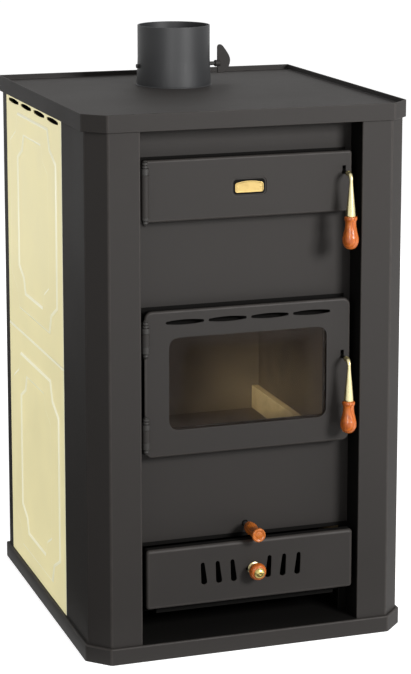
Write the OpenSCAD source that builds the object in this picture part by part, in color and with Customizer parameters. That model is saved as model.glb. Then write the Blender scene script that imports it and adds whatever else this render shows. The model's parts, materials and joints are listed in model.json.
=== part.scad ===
// Hydronic wood stove: sheet casing round a welded water jacket, two hinged doors, an ash drawer
// and a flue collar with a damper. Origin at the centre of the footprint, on the floor; the
// front faces -Y, X runs to the right, Z up. Closed and standing ready, with the damper open.

/* [Casing] */
// Width over the base and top lips
case_w = 640; // [600:5:720]
// Depth over the base and top lips
case_d = 676; // [650:2:740]
// Height of the top rim above the floor
case_h = 1040; // [1000:5:1120]
// How far the lips stand out from the casing
lip_out = 6; // [5:0.5:10]
// Height of the base lip
base_h = 32; // [24:1:36]
// Height of the top lip
top_lip_h = 32.5; // [26:0.5:40]
// Depth of the top plate below its rim
top_recess = 10; // [4:1:14]
// Thickness of the casing sheet
sheet = 3; // [2:0.5:4]
// Leg of the chamfer at the front corners
chamfer = 36; // [20:1:50]
// Width of each front column seen from the front
column_w = 97; // [80:1:110]
// Depth of each front column from the casing's front
column_d = 194; // [120:2:240]
// Width of each rear post on the side of the casing
post_w = 32; // [24:1:60]
// Width of the flanges turned in at the folded edges
flange = 14; // [10:1:20]
// How far the front plate lies behind the columns' faces
plate_setback = 56; // [50:1:60]

/* [Side panels] */
// Thickness of the enamelled side panels
panel_t = 2; // [1.5:0.5:3]
// Height of the seam between the lower and the upper panel
panel_split = 527.5; // [450:0.5:600]
// Gap between neighbouring panels
panel_gap = 0.8; // [0.4:0.1:1]
// Height of the raised band on each panel
band_raise = 2.5; // [1:0.5:4]
// Width of the sloped edges of the band
band_slope = 4; // [2:0.5:8]
// Distance of the band from the panel's front and rear edges
band_side = 35; // [25:1:50]
// Distance of each band from the seam between the panels
band_seam = 45; // [30:1:60]
// Distance of the lower band above the base lip
band_foot = 34; // [20:1:60]
// Distance of the upper band below the top lip
band_top = 28; // [20:1:60]
// Width of the band along its upright runs
band_w = 66; // [30:1:80]
// Width of the band along its level runs
band_h = 44; // [25:1:60]
// Length of the notch at the band's outer corners
notch_outer = 62; // [30:1:80]
// Length of the notch at the band's inner corners
notch_inner = 49; // [20:1:60]
// Vent slots in the top of each upper panel
side_vents = 4; // [2:1:5]
// Length of each side vent
side_vent_l = 84; // [40:1:90]
// Distance from one side vent to the next
side_vent_pitch = 104; // [95:1:106]
// Distance of the side vents below the top lip
side_vent_drop = 10; // [8:1:16]
// Height of every vent at its middle
vent_h = 10; // [6:0.5:12]
// Height of every vent at its round ends
vent_end_h = 5.5; // [3:0.5:6]

/* [Boiler] */
// Gap between each side jacket and the casing's side
boiler_side_gap = 44; // [40:1:50]
// Thickness of the side and rear water jackets
jacket_t = 55; // [40:1:60]
// Thickness of the boiler plate
plate_t = 4; // [3:0.5:6]
// Gap between the rear jacket and the casing's back
jacket_back_gap = 50; // [35:1:70]
// Gap between the boiler's top and the top plate
crown_gap = 27; // [20:1:40]
// Height of the crown's water space with its plates
crown_h = 45; // [30:1:60]
// Height of the ash chamber's floor, its upper face
ash_floor_z = 78; // [70:1:84]
// Height of the firebox floor, its upper face
hearth_z = 312; // [295:1:330]
// Thickness of the cast firebox floor
hearth_t = 17; // [12:1:22]
// Height of the smoke baffle's lower face
baffle_z = 745; // [700:1:760]
// Opening in front of the smoke baffle
baffle_front_gap = 124; // [80:2:180]
// Thickness of the smoke baffle
baffle_t = 6; // [4:1:10]
// Thickness of the kerb slabs
brick_t = 16; // [12:1:40]
// Height of the kerb slabs
brick_h = 50; // [30:1:90]
// Section of the ledges welded to the jackets
ledge = 10; // [6:1:14]
// Radius of the ports that join the water spaces
port_r = 15; // [8:1:18]

/* [Water sockets] */
// Bore radius of the supply and return sockets
main_bore_r = 19.5; // [12:0.5:20]
// Outer radius of the supply and return sockets
main_socket_r = 26; // [24:0.5:30]
// Bore radius of the drain and sensor sockets
small_bore_r = 9.5; // [6:0.5:10]
// Outer radius of the drain and sensor sockets
small_socket_r = 14; // [13:0.5:18]
// How far the sockets stand out behind the lips
socket_out = 14; // [8:1:40]
// Distance of the sockets from the side jackets
socket_in = 65; // [55:1:130]
// Distance of the supply and sensor sockets below the top plate
socket_drop = 95; // [90:1:140]
// Height of the return and drain sockets above the floor
socket_low_z = 140; // [130:1:220]

/* [Flue] */
// Outer radius of the flue collar
flue_r = 73.5; // [60:0.5:80]
// Wall of the flue collar
flue_t = 3; // [2:0.5:4]
// Height of the collar's mouth above the top rim
flue_up = 112; // [90:1:150]
// Distance of the collar's axis from the casing's back
flue_back = 183; // [160:1:200]
// How far the collar's foot is wider than its mouth
flue_flare = 2; // [1:0.5:4]
// Height of the straight spigot that takes the pipe
spigot_h = 67; // [50:1:70]
// Height of the damper's shaft above the top rim
damper_up = 30; // [25:1:38]
// Radius of the damper's shaft
damper_rod_r = 4; // [3:0.5:5]
// Thickness of the damper's disc
damper_t = 2; // [1.5:0.5:3]
// Gap between the damper's disc and the collar
damper_gap = 1.5; // [1:0.5:3]
// Width of the damper's handle
damper_handle_w = 28; // [20:1:34]
// Height of the damper's handle above the shaft
damper_handle_up = 37; // [25:1:45]
// Thickness of the damper's handle
damper_handle_t = 5; // [3:0.5:6]

/* [Doors] */
// Gap between each door and the columns beside it
door_gap = 12; // [12:0.5:14]
// How far the doors' faces stand in front of the front plate
door_out = 35; // [34:0.5:38]
// Depth of the folded edge of each door
door_fold = 16; // [10:1:18]
// Height of the fire door
fire_door_h = 280; // [240:1:285]
// Height of the fire door's lower edge above the floor
fire_door_z = 387; // [380:1:400]
// Corner radius of the fire door
fire_door_r = 15; // [8:1:20]
// Height of the upper door
upper_door_h = 116; // [100:1:120]
// Distance of the upper door below the top lip
upper_door_drop = 57.5; // [45:0.5:70]
// Corner radius of the upper door
upper_door_r = 6; // [3:0.5:10]
// Width of the fire door's frame beside the window
window_side = 48; // [46:1:60]
// Height of the fire door's frame below the window
window_low = 50.5; // [40:0.5:60]
// Height of the fire door's frame above the window
window_high = 52.5; // [50:0.5:60]
// Corner radius of the window
window_r = 18; // [8:1:24]
// Thickness of the glass
glass_t = 4; // [3:0.5:5]
// How far the glass reaches behind the window's edge
glass_lap = 12; // [8:1:14]
// Vent slots above the window
door_vents = 4; // [2:1:4]
// Length of each vent above the window
door_vent_l = 75; // [40:1:78]
// Distance from one of these vents to the next
door_vent_pitch = 84; // [82:1:90]
// Distance of these vents below the fire door's upper edge
door_vent_drop = 23; // [18:1:28]
// Width of the nameplate's pocket
badge_pocket_w = 67; // [60:1:80]
// Height of the nameplate's pocket
badge_pocket_h = 33; // [30:1:40]
// Corner radius of the nameplate's pocket
badge_pocket_r = 8; // [2:0.5:12]
// Depth of the nameplate's pocket
badge_pocket_d = 1.5; // [0.5:0.5:1.5]
// Width of the nameplate
badge_w = 56; // [40:1:60]
// Height of the nameplate
badge_h = 21.5; // [16:0.5:28]

/* [Hinges and latches] */
// Radius of the hinge barrels
barrel_r = 8; // [7:0.5:8]
// Distance of the hinge axis outside the doors' left edge
hinge_side = 2; // [1:0.5:3]
// Distance of the hinge axis in front of the doors' faces
hinge_front = 13; // [12:0.5:15]
// Radius of the hinge pins
pin_r = 3.5; // [2.5:0.5:4]
// Length of each fire door hinge
fire_barrel_h = 68; // [50:1:80]
// Distance of the fire door hinges from the door's corners
fire_barrel_in = 14.5; // [14:0.5:40]
// Distance of the latch levers from the doors' right edge
latch_in = 16; // [15:0.5:17]
// Radius of the latch pivots
pivot_r = 4; // [3:0.5:4.5]
// Distance of the latch pivots behind the doors' faces
pivot_back = 13; // [12:0.5:15]
// Radius of the latch lever's neck
neck_r = 3; // [2.5:0.25:3.5]
// Reach of the lever's hanging part in front of the door's face
latch_reach = 35; // [32:0.5:45]
// Radius of the bend in the latch lever
bend_r = 12; // [8:0.5:16]
// Height of the upper latch pivot below the upper door's top edge
upper_latch_drop = 40; // [34:1:50]
// Height of the fire door's latch pivot below the door's top edge
fire_latch_drop = 113.5; // [90:0.5:140]
// Travel of the latch lever in degrees
latch_lift = 28; // [15:1:28]
// Distance from the pivot down to the grip
grip_drop = 79.5; // [70:0.5:90]
// Length of the grip
grip_h = 62.5; // [50:0.5:75]
// Largest radius of the grip
grip_r = 15.5; // [12:0.5:18]
// Radius of the lever where the grip begins
lever_r = 9; // [7:0.5:10]

/* [Ash drawer] */
// Gap between the drawer's front and the columns beside it
drawer_gap = 9; // [6:0.5:11]
// How far the drawer's face stands in front of the front plate
drawer_out = 52; // [45:0.5:56]
// Height of the drawer's lower edge above the floor
drawer_z = 97; // [90:1:100]
// Height of the drawer's front
drawer_h = 116; // [110:1:117]
// Depth of the folded edge of the drawer's front
drawer_fold = 20; // [14:1:28]
// Corner radius of the drawer's front
drawer_r = 6.5; // [3:0.5:10]
// Gap between the ash pan and the opening beside it
pan_side_gap = 20; // [5:1:40]
// Length of the ash pan
pan_l = 460; // [400:5:500]
// Height of the ash pan's sides
pan_h = 105; // [80:1:120]
// Thickness of the ash pan's sheet
pan_t = 2; // [1:0.5:3]
// Height of the air slots
air_slot_h = 44; // [30:1:46]
// Width of the air slots at the top
air_slot_top = 8; // [6:0.5:10]
// Width of the air slots at the bottom
air_slot_foot = 12; // [10:0.5:12.5]
// Sideways lean of the air slots
air_slot_lean = 3; // [0:0.5:5]
// Distance of the innermost air slots from the centre
air_slot_first = 34.5; // [32:0.5:40]
// Distance from one air slot to the next
air_slot_pitch = 29.75; // [28:0.25:32]
// Air slots on each side of the knob
air_slots = 3; // [1:1:3]
// Travel of the air shutter
shutter_travel = 13; // [12.5:0.5:13.5]
// Sideways place of the two knobs
knob_x = 6; // [4:0.5:8]
// Height of the air knob above the drawer's lower edge
air_knob_up = 60; // [56:0.5:62]
// Largest radius of the air knob
air_knob_r = 16.5; // [12:0.5:18]

/* [Grate shaker] */
// Height of the shaker rod above the floor
shaker_z = 230; // [229:0.5:236]
// Radius of the shaker rod
shaker_rod_r = 5; // [4:0.5:6]
// Largest radius of the shaker knob
shaker_knob_r = 13.5; // [10:0.5:14]
// Length of the shaker knob
shaker_knob_l = 58; // [40:1:70]
// Gap between the shaker knob and the front plate
shaker_knob_gap = 22; // [18:1:30]
// Travel of the shaker outwards
shaker_out = 25; // [10:1:40]
// Travel of the shaker inwards
shaker_in = 15; // [5:1:17]
// Width of the grate
grate_w = 208; // [160:2:220]
// Length of the grate
grate_l = 220; // [180:2:260]
// Bars' slots across the grate
grate_slots = 9; // [5:1:11]
// Width of the grate's slots
grate_slot_w = 9; // [6:0.5:11]

/* [Fits] */
// Gap where pieces are seated on each other
seat = 0.3; // [0.2:0.05:0.5]
// Radial clearance of the hinges and shafts that turn
run_fit = 0.05; // [0.02:0.01:0.09]
// Radial clearance of pins held fast
tight_fit = 0.02; // [0.01:0.01:0.03]

/* [Hidden] */

$fn = 64;
overcut = 1;

// Colours
steel = [0.25, 0.23, 0.22];
dark_steel = [0.13, 0.12, 0.115];
enamel = [0.87, 0.84, 0.70];
boiler_steel = [0.33, 0.31, 0.30];
cast_iron = [0.20, 0.20, 0.20];
fireclay = [0.72, 0.64, 0.50];
brass = [0.80, 0.66, 0.36];
varnished_wood = [0.76, 0.40, 0.18];
clear_glass = [0.35, 0.32, 0.28, 0.35];
seal_rope = [0.45, 0.44, 0.42];
zinc = [0.62, 0.63, 0.64];

// Planes of the casing
case_x = case_w / 2 - lip_out;
front_y = -case_d / 2 + lip_out;
back_y = case_d / 2 - lip_out;
lip_z = case_h - top_lip_h;
top_z = case_h - top_recess;
under_top_z = top_z - sheet;
plate_y = front_y + plate_setback;
open_x = case_x - column_w;
panel_y0 = front_y + column_d;
panel_y1 = back_y - post_w;
panel_tuck = 8;
screw_r = 2.5;
screw_head_r = 4.5;
screw_head_h = 2.5;
screw_rows = 4;
screw_x = case_x - post_w + flange / 2;
screw_end = 60;

// Boiler
boiler_x = case_x - boiler_side_gap;
furnace_x = boiler_x - jacket_t;
furnace_y0 = plate_y + plate_t;
boiler_y1 = back_y - jacket_back_gap;
furnace_y1 = boiler_y1 - jacket_t;
boiler_z1 = under_top_z - crown_gap;
stand_w = 45;
port_y = (furnace_y1 + boiler_y1) / 2;
socket_x = furnace_x - socket_in;
socket_high_z = top_z - socket_drop;
port_low_z = ash_floor_z + 3 * port_r;
crown_z = boiler_z1 - crown_h;
port_high_z = crown_z - 2 * port_r;
ash_open_x = furnace_x - 15;
ash_open_z = 205;

// Flue
flue_y = back_y - flue_back;
flue_z = case_h + flue_up;
spigot_z = flue_z - spigot_h;
damper_z = case_h + damper_up;
flue_bore_r = flue_r - flue_t;
disc_r = flue_bore_r - damper_gap;
collar_foot_h = 10;
collar_flange_w = 18;
damper_stub = 6;
handle_gap = 19;
handle_x = flue_r + flue_flare / 2 + handle_gap;

// Doors
door_x = open_x - door_gap;
door_y = plate_y - door_out;
door_back_y = door_y + door_fold;
inner_y = door_y + sheet;
upper_door_z = lip_z - upper_door_drop - upper_door_h;
seal_t = 11.7;
seal_w = 10.4;
liner_y = plate_y - seat - seal_t;
liner_side = 23;
liner_end = 8;
rib = 3;
rib_h = 7;
door_open_side = liner_side + 2 * rib + seal_w + 2 * seat;
door_open_end = liner_end + 2 * rib + seal_w + 2 * seat;
window_x = door_x - window_side;
window_z0 = fire_door_z + window_low;
window_z1 = fire_door_z + fire_door_h - window_high;

// Hinges and latches
hinge_x = -door_x - hinge_side;
hinge_y = door_y - hinge_front;
bracket_t = 6;
upper_knuckle_low = 14;
upper_knuckle_high = 24;
fire_knuckle = 22;
fire_hinge_z = [
    fire_door_z + fire_barrel_in,
    fire_door_z + fire_door_h - fire_barrel_in - fire_barrel_h];
latch_x = door_x - latch_in;
pivot_y = door_y + pivot_back;
hang_y = door_y - latch_reach;
upper_latch_z = upper_door_z + upper_door_h - upper_latch_drop;
fire_latch_z = fire_door_z + fire_door_h - fire_latch_drop;
hub_r = 8;
hub_w = 9;
hook_l = 16;
hook_tip = 4;
tang_l = 22;
tang_r = 3;
latch_slot_w = 2 * neck_r + 1;
latch_slot_up = 2 * neck_r + (pivot_back - 1) * tan(latch_lift) + 3;

// Ash drawer
drawer_x = open_x - drawer_gap;
drawer_y = plate_y - drawer_out;
drawer_inner_y = drawer_y + sheet;
air_z = drawer_z + air_knob_up;
shutter_t = 2;
shutter_x = air_slot_first + (air_slots - 1) * air_slot_pitch + air_slot_foot + 10;
shutter_h = air_slot_h + 14;
rail_t = 4;
rail_lip = 3;
pan_x = ash_open_x - pan_side_gap;
pan_z = ash_floor_z + seat;
pan_front_y = drawer_inner_y + 27;
stem_r = 3;
ferrule_r = 10;
ferrule_l = 8;
ball_l = 22;
cap_r = 10;
cap_l = 7;
cap_hole_r = 2.2;

// Grate
rod_hole_r = shaker_rod_r + 1.5;
grate_y = (furnace_y0 + furnace_y1) / 2 - 15;
grate_y0 = grate_y - grate_l / 2;
grate_y1 = grate_y + grate_l / 2;
grate_step = 4;
grate_z = hearth_z - hearth_t + grate_step + seat;
lug_w = 24;
lug_t = 10;
knob_y1 = plate_y - shaker_knob_gap;
knob_y0 = knob_y1 - shaker_knob_l;
knob_socket = 20;

// Points of an outline

function arc(cx, cy, r, from) =
    [for (i = [0:6]) [cx + r * cos(from + 15 * i), cy + r * sin(from + 15 * i)]];

// Rectangle with round corners, from its lower left to its upper right corner
function rounded(x0, y0, x1, y1, r) = concat(
    arc(x1 - r, y0 + r, r, -90), arc(x1 - r, y1 - r, r, 0),
    arc(x0 + r, y1 - r, r, 90), arc(x0 + r, y0 + r, r, 180));

// Vent: a slot with round ends that swells towards its middle
function vent(l, h, end_h) = let (
    r = end_h / 2,
    x1 = l / 2 - r,
    side = [for (i = [4:-1:-4]) [x1 * i / 5, h / 2 - (h / 2 - r) * pow(i / 5, 2)]])
    concat(
        arc(x1, 0, r, -90), arc(x1, 0, r, 0), side,
        arc(-x1, 0, r, 90), arc(-x1, 0, r, 180), [for (p = side) -p]);

// Plan of the casing, grown by a distance, with chamfered front corners
function plan(grow) = let (
    x = case_x + grow,
    y0 = front_y - grow,
    y1 = back_y + grow,
    c = chamfer + grow * (2 - sqrt(2)))
    [[-x, y1], [-x, y0 + c], [-x + c, y0], [x - c, y0], [x, y0 + c], [x, y1]];

function left_of(a, b) = [a[1] - b[1], b[0] - a[0]] / norm(b - a);

function mitred(path, i, t) = let (
    n = len(path) - 1,
    a = left_of(path[max(i - 1, 0)], path[max(i, 1)]),
    b = left_of(path[min(i, n - 1)], path[min(i + 1, n)]))
    path[i] + t * (a + b) / (1 + a * b);

// Section of a sheet folded along a path, with its thickness to the left of the path
function folded(path, t) =
    concat(path, [for (i = [len(path) - 1:-1:0]) mitred(path, i, t)]);

// Rectangle with a two-step notch at each corner, centred
function notched(w, h, cut) = let (
    knee = [0.74 * cut, 0.62 * cut],
    quarter = [[w / 2 - cut, h / 2], [w / 2 - knee[0], h / 2 - knee[1]], [w / 2, h / 2 - cut]])
    concat(
        quarter,
        [for (i = [2:-1:0]) [quarter[i][0], -quarter[i][1]]],
        [for (p = quarter) -p],
        [for (i = [2:-1:0]) [-quarter[i][0], quarter[i][1]]]);

// Shared shapes

module block(low, high) {
    translate(low) cube(high - low);
}

// An outline drawn in X and Z, given a depth from y0 to y1
module upright(y0, y1) {
    translate([0, y1, 0]) rotate([90, 0, 0]) linear_extrude(y1 - y0) children();
}

module rod_x(x0, x1, y, z, r) {
    translate([x0, y, z]) rotate([0, 90, 0]) cylinder(r = r, h = x1 - x0);
}

module rod_y(x, y0, y1, z, r) {
    translate([x, y1, z]) rotate([90, 0, 0]) cylinder(r = r, h = y1 - y0);
}

module rod_z(x, y, z0, z1, r) {
    translate([x, y, z0]) cylinder(r = r, h = z1 - z0);
}

module left_side() {
    mirror([1, 0, 0]) children();
}

// Base

module base_plinth() {
    color(steel) difference() {
        linear_extrude(base_h) polygon(plan(lip_out));
        translate([0, 0, -overcut])
            linear_extrude(base_h - sheet + overcut) polygon(plan(lip_out - sheet));
    }
}

module base_plate() {
    color(dark_steel) linear_extrude(sheet) polygon(plan(lip_out - sheet - seat));
}

// Casing

module column() {
    path = [
        [open_x, plate_y - seat], [open_x, front_y], [case_x - chamfer, front_y],
        [case_x, front_y + chamfer], [case_x, panel_y0], [case_x - flange, panel_y0]];
    color(steel) translate([0, 0, base_h])
        linear_extrude(under_top_z - base_h) polygon(folded(path, sheet));
}

module rear_post() {
    path = [
        [case_x - flange, panel_y1], [case_x, panel_y1], [case_x, back_y],
        [case_x - post_w, back_y]];
    color(steel) difference() {
        translate([0, 0, base_h])
            linear_extrude(under_top_z - base_h) polygon(folded(path, sheet));
        rear_screws() rod_y(0, back_y - sheet - overcut, back_y + overcut, 0, screw_r + tight_fit);
    }
}

// Places of the rear screws on the right side
module rear_screws() {
    first = base_h + screw_end;
    last = lip_z - screw_end;
    for (i = [0:screw_rows - 1])
        translate([screw_x, 0, first + i * (last - first) / (screw_rows - 1)]) children();
}

module casing_screws() {
    color(zinc) for (s = [0, 1]) mirror([s, 0, 0]) rear_screws() {
        rod_y(0, back_y - sheet - panel_t, back_y, 0, screw_r);
        rod_y(0, back_y, back_y + screw_head_h, 0, screw_head_r);
    }
}

// Raised band with sloped edges, w by h on the plane z = 0, rooted in the sheet below it
module band(w, h) {
    root = panel_t / 2;
    lean = 2 * band_slope / band_raise;
    out = [w + root * lean, h + root * lean];
    inner = [w - 2 * band_w - root * lean, h - 2 * band_h - root * lean];
    rise = band_raise + root;
    translate([0, 0, -root]) difference() {
        linear_extrude(
            rise, scale = [1 - rise * lean / out[0], 1 - rise * lean / out[1]],
            slices = 1, $fn = 4)
            polygon(notched(out[0], out[1], notch_outer));
        linear_extrude(
            rise + overcut,
            scale = [1 + (rise + overcut) * lean / inner[0], 1 + (rise + overcut) * lean / inner[1]],
            slices = 1, $fn = 4)
            polygon(notched(inner[0], inner[1], notch_inner));
    }
}

// Enamelled side panel from z0 to z1 on the right side, with its band from band_z0 to band_z1
module side_panel(z0, z1, band_z0, band_z1) {
    y0 = panel_y0 + seat;
    y1 = panel_y1 - seat;
    path = [[case_x - flange, y0], [case_x, y0], [case_x, y1], [case_x - flange, y1]];
    translate([0, 0, z0]) linear_extrude(z1 - z0) polygon(folded(path, panel_t));
    translate([case_x, (y0 + y1) / 2, (band_z0 + band_z1) / 2]) rotate([90, 0, 90])
        band(y1 - y0 - 2 * band_side, band_z1 - band_z0);
}

module panel_lower() {
    z1 = panel_split - panel_gap / 2;
    color(enamel) side_panel(base_h + seat, z1, base_h + band_foot, z1 - band_seam);
}

module panel_upper() {
    z0 = panel_split + panel_gap / 2;
    color(enamel) difference() {
        side_panel(z0, lip_z + panel_tuck, z0 + band_seam, lip_z - band_top);
        for (i = [0:side_vents - 1])
            translate([
                case_x - panel_t - overcut,
                (panel_y0 + panel_y1) / 2 + (i - (side_vents - 1) / 2) * side_vent_pitch,
                lip_z - side_vent_drop])
                rotate([90, 0, 90]) linear_extrude(panel_t + 2 * overcut)
                    polygon(vent(side_vent_l, vent_h, vent_end_h));
    }
}

module rear_panel() {
    x = case_x - post_w + flange;
    y1 = back_y - sheet;
    color(steel) difference() {
        block([-x, y1 - panel_t, base_h], [x, y1, under_top_z]);
        for (s = [0, 1])
            mirror([s, 0, 0]) rear_screws()
                rod_y(0, y1 - panel_t - overcut, y1 + overcut, 0, screw_r + tight_fit);
        for (s = [-1, 1]) {
            z = s < 0 ? socket_high_z : socket_low_z;
            rod_y(s * socket_x, y1 - panel_t - overcut, y1 + overcut, z, main_socket_r + seat);
            rod_y(-s * socket_x, y1 - panel_t - overcut, y1 + overcut, z, small_socket_r + seat);
        }
    }
}

module top_cover() {
    color(steel) difference() {
        translate([0, 0, lip_z]) linear_extrude(top_lip_h) polygon(plan(lip_out));
        translate([0, 0, lip_z - overcut])
            linear_extrude(under_top_z - lip_z + overcut) polygon(plan(lip_out - sheet));
        translate([0, 0, top_z])
            linear_extrude(top_recess + overcut) polygon(plan(lip_out - sheet));
        rod_z(0, flue_y, under_top_z - overcut, top_z + overcut, flue_r + seat);
    }
}

// Boiler

module front_plate() {
    color(steel) difference() {
        block([-boiler_x, plate_y, base_h], [boiler_x, plate_y + plate_t, under_top_z]);
        block(
            [-ash_open_x, plate_y - overcut, base_h - overcut],
            [ash_open_x, plate_y + plate_t + overcut, ash_open_z]);
        door_opening(fire_door_z, fire_door_h);
        door_opening(upper_door_z, upper_door_h);
        rod_y(knob_x, plate_y - overcut, plate_y + plate_t + overcut, shaker_z, rod_hole_r);
    }
}

module door_opening(z, h) {
    x = door_x - door_open_side;
    block(
        [-x, plate_y - overcut, z + door_open_end],
        [x, plate_y + plate_t + overcut, z + h - door_open_end]);
}

module boiler_stands() {
    color(dark_steel) for (s = [0, 1]) mirror([s, 0, 0]) difference() {
        block([boiler_x - stand_w, furnace_y0, base_h], [boiler_x, boiler_y1, ash_floor_z - sheet]);
        block(
            [boiler_x - stand_w + sheet, furnace_y0 - overcut, base_h + sheet],
            [boiler_x + overcut, boiler_y1 + overcut, ash_floor_z - 2 * sheet]);
    }
}

module ash_floor() {
    color(dark_steel)
        block([-boiler_x, furnace_y0, ash_floor_z - sheet], [boiler_x, boiler_y1, ash_floor_z]);
}

// Closed water space made of boiler plate
module tank(low, high) {
    wall = [plate_t, plate_t, plate_t];
    difference() {
        block(low, high);
        block(low + wall, high - wall);
    }
}

module side_jacket() {
    color(boiler_steel) {
        difference() {
            tank([furnace_x, furnace_y0, ash_floor_z], [boiler_x, boiler_y1, boiler_z1]);
            for (z = [port_low_z, port_high_z])
                rod_x(furnace_x - overcut, furnace_x + plate_t + overcut, port_y, z, port_r);
        }
        for (z = [hearth_z - hearth_t, baffle_z])
            block([furnace_x - ledge, furnace_y0, z - ledge], [furnace_x, furnace_y1, z]);
    }
}

module jacket_rear() {
    color(boiler_steel) difference() {
        tank([-furnace_x, furnace_y1, ash_floor_z], [furnace_x, boiler_y1, boiler_z1]);
        for (s = [-1, 1]) {
            for (z = [port_low_z, port_high_z])
                translate([s * (furnace_x - plate_t / 2), 0, 0])
                    rod_x(-plate_t, plate_t, port_y, z, port_r);
            rod_y(s * socket_x, furnace_y1 - overcut, furnace_y1 + plate_t + overcut,
                (crown_z + boiler_z1) / 2, port_r);
            z = s < 0 ? socket_high_z : socket_low_z;
            rod_y(s * socket_x, boiler_y1 - plate_t - overcut, boiler_y1 + overcut, z, main_bore_r);
            rod_y(-s * socket_x, boiler_y1 - plate_t - overcut, boiler_y1 + overcut, z, small_bore_r);
        }
    }
}

// Two plates welded between the jackets and the front plate, with water between them
module jacket_crown() {
    color(boiler_steel) for (z = [crown_z, boiler_z1 - plate_t]) difference() {
        block([-furnace_x, furnace_y0, z], [furnace_x, furnace_y1, z + plate_t]);
        rod_z(0, flue_y, z - overcut, z + plate_t + overcut, flue_r + seat);
    }
}

module socket(x, z, r, bore_r) {
    color(zinc) difference() {
        rod_y(x, boiler_y1, case_d / 2 + socket_out, z, r);
        rod_y(x, boiler_y1 - overcut, case_d / 2 + socket_out + overcut, z, bore_r);
    }
}

module smoke_baffle() {
    x = furnace_x - seat;
    color(cast_iron)
        block([-x, furnace_y0 + baffle_front_gap, baffle_z], [x, furnace_y1 - seat, baffle_z + baffle_t]);
}

// Firebox floor and grate

module hearth_plate() {
    x = furnace_x - seat;
    pocket_x = grate_w / 2 + seat;
    y0 = grate_y0 - shaker_out - 2 * seat;
    y1 = grate_y1 + shaker_in + 2 * seat;
    color(cast_iron) difference() {
        block([-x, furnace_y0 + seat, hearth_z - hearth_t], [x, furnace_y1 - seat, hearth_z]);
        block(
            [-pocket_x, y0, hearth_z - hearth_t + grate_step],
            [pocket_x, y1, hearth_z + overcut]);
        block(
            [-pocket_x + ledge, y0, hearth_z - hearth_t - overcut],
            [pocket_x - ledge, y1, hearth_z + overcut]);
    }
}

module shaker_grate() {
    x = grate_w / 2;
    slot_x = (grate_w - 40) / 2;
    pitch = (grate_l - 20) / grate_slots;
    color(cast_iron) difference() {
        block([-x, grate_y0, grate_z], [x, grate_y1, hearth_z]);
        for (i = [0:grate_slots - 1], s = [0, 1]) {
            y = grate_y + (i - (grate_slots - 1) / 2) * pitch;
            mirror([s, 0, 0]) block(
                [7, y - grate_slot_w / 2, grate_z - overcut],
                [slot_x, y + grate_slot_w / 2, hearth_z + overcut]);
        }
    }
}

// Rod with the tongue that carries the grate
module shaker_rod() {
    color(zinc) {
        rod_y(knob_x, knob_y1 - knob_socket, grate_y0 + lug_t / 2, shaker_z, shaker_rod_r);
        block(
            [knob_x - lug_w / 2, grate_y0, shaker_z - 2 * shaker_rod_r + 1],
            [knob_x + lug_w / 2, grate_y0 + lug_t, grate_z - seat]);
    }
}

// Turned spool: full at both ends, drawn in at the waist
module shaker_knob() {
    waist = 0.24;
    steps = 10;
    edge = 2;
    side = [for (i = [0:steps]) [
        shaker_knob_r * (1 - waist * pow(sin(180 * i / steps), 1.5)),
        edge + (shaker_knob_l - 2 * edge) * i / steps]];
    outline = concat([[0, 0], [shaker_knob_r - edge, 0]], side,
        [[shaker_knob_r - edge, shaker_knob_l], [0, shaker_knob_l]]);
    color(varnished_wood) difference() {
        translate([knob_x, knob_y1, shaker_z]) rotate([90, 0, 0]) rotate_extrude() polygon(outline);
        rod_y(knob_x, knob_y1 - knob_socket - seat, knob_y1 + overcut, shaker_z,
            shaker_rod_r + tight_fit);
    }
}

module kerb_bricks() {
    color(fireclay) for (s = [0, 1]) mirror([s, 0, 0])
        block(
            [furnace_x - brick_t, furnace_y0 + seat, hearth_z],
            [furnace_x - seat, furnace_y1 - seat, hearth_z + brick_h]);
}

// Flue

// Tube from the furnace through the crown's water space
module flue_sleeve() {
    color(boiler_steel) translate([0, flue_y, crown_z]) rotate_extrude()
        translate([flue_bore_r, 0]) square([flue_t, boiler_z1 - crown_z]);
}

// Collar through the top cover, with a flange on the crown
module flue_collar() {
    foot_r = flue_r + flue_flare;
    section = [
        [flue_bore_r, boiler_z1], [flue_r + collar_flange_w, boiler_z1],
        [flue_r + collar_flange_w, boiler_z1 + sheet], [flue_r, boiler_z1 + sheet],
        [flue_r, top_z + seat], [foot_r, top_z + seat], [foot_r, top_z + collar_foot_h],
        [flue_r, spigot_z], [flue_r, flue_z], [flue_bore_r, flue_z]];
    color(steel) difference() {
        translate([0, flue_y, 0]) rotate_extrude() polygon(section);
        rod_x(-foot_r - overcut, foot_r + overcut, flue_y, damper_z, damper_rod_r + run_fit);
    }
}

module damper_disc() {
    color(dark_steel) rod_y(0, flue_y - damper_t / 2, flue_y + damper_t / 2, damper_z, disc_r);
}

// Shaft with a slot that holds the disc
module damper_shaft() {
    slot = damper_t / 2 + tight_fit;
    color(dark_steel) difference() {
        rod_x(-flue_r - damper_stub, handle_x + damper_stub, flue_y, damper_z, damper_rod_r);
        block(
            [-disc_r - seat, flue_y - slot, damper_z - damper_rod_r - overcut],
            [disc_r + seat, flue_y + slot, damper_z + damper_rod_r + overcut]);
    }
}

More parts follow.
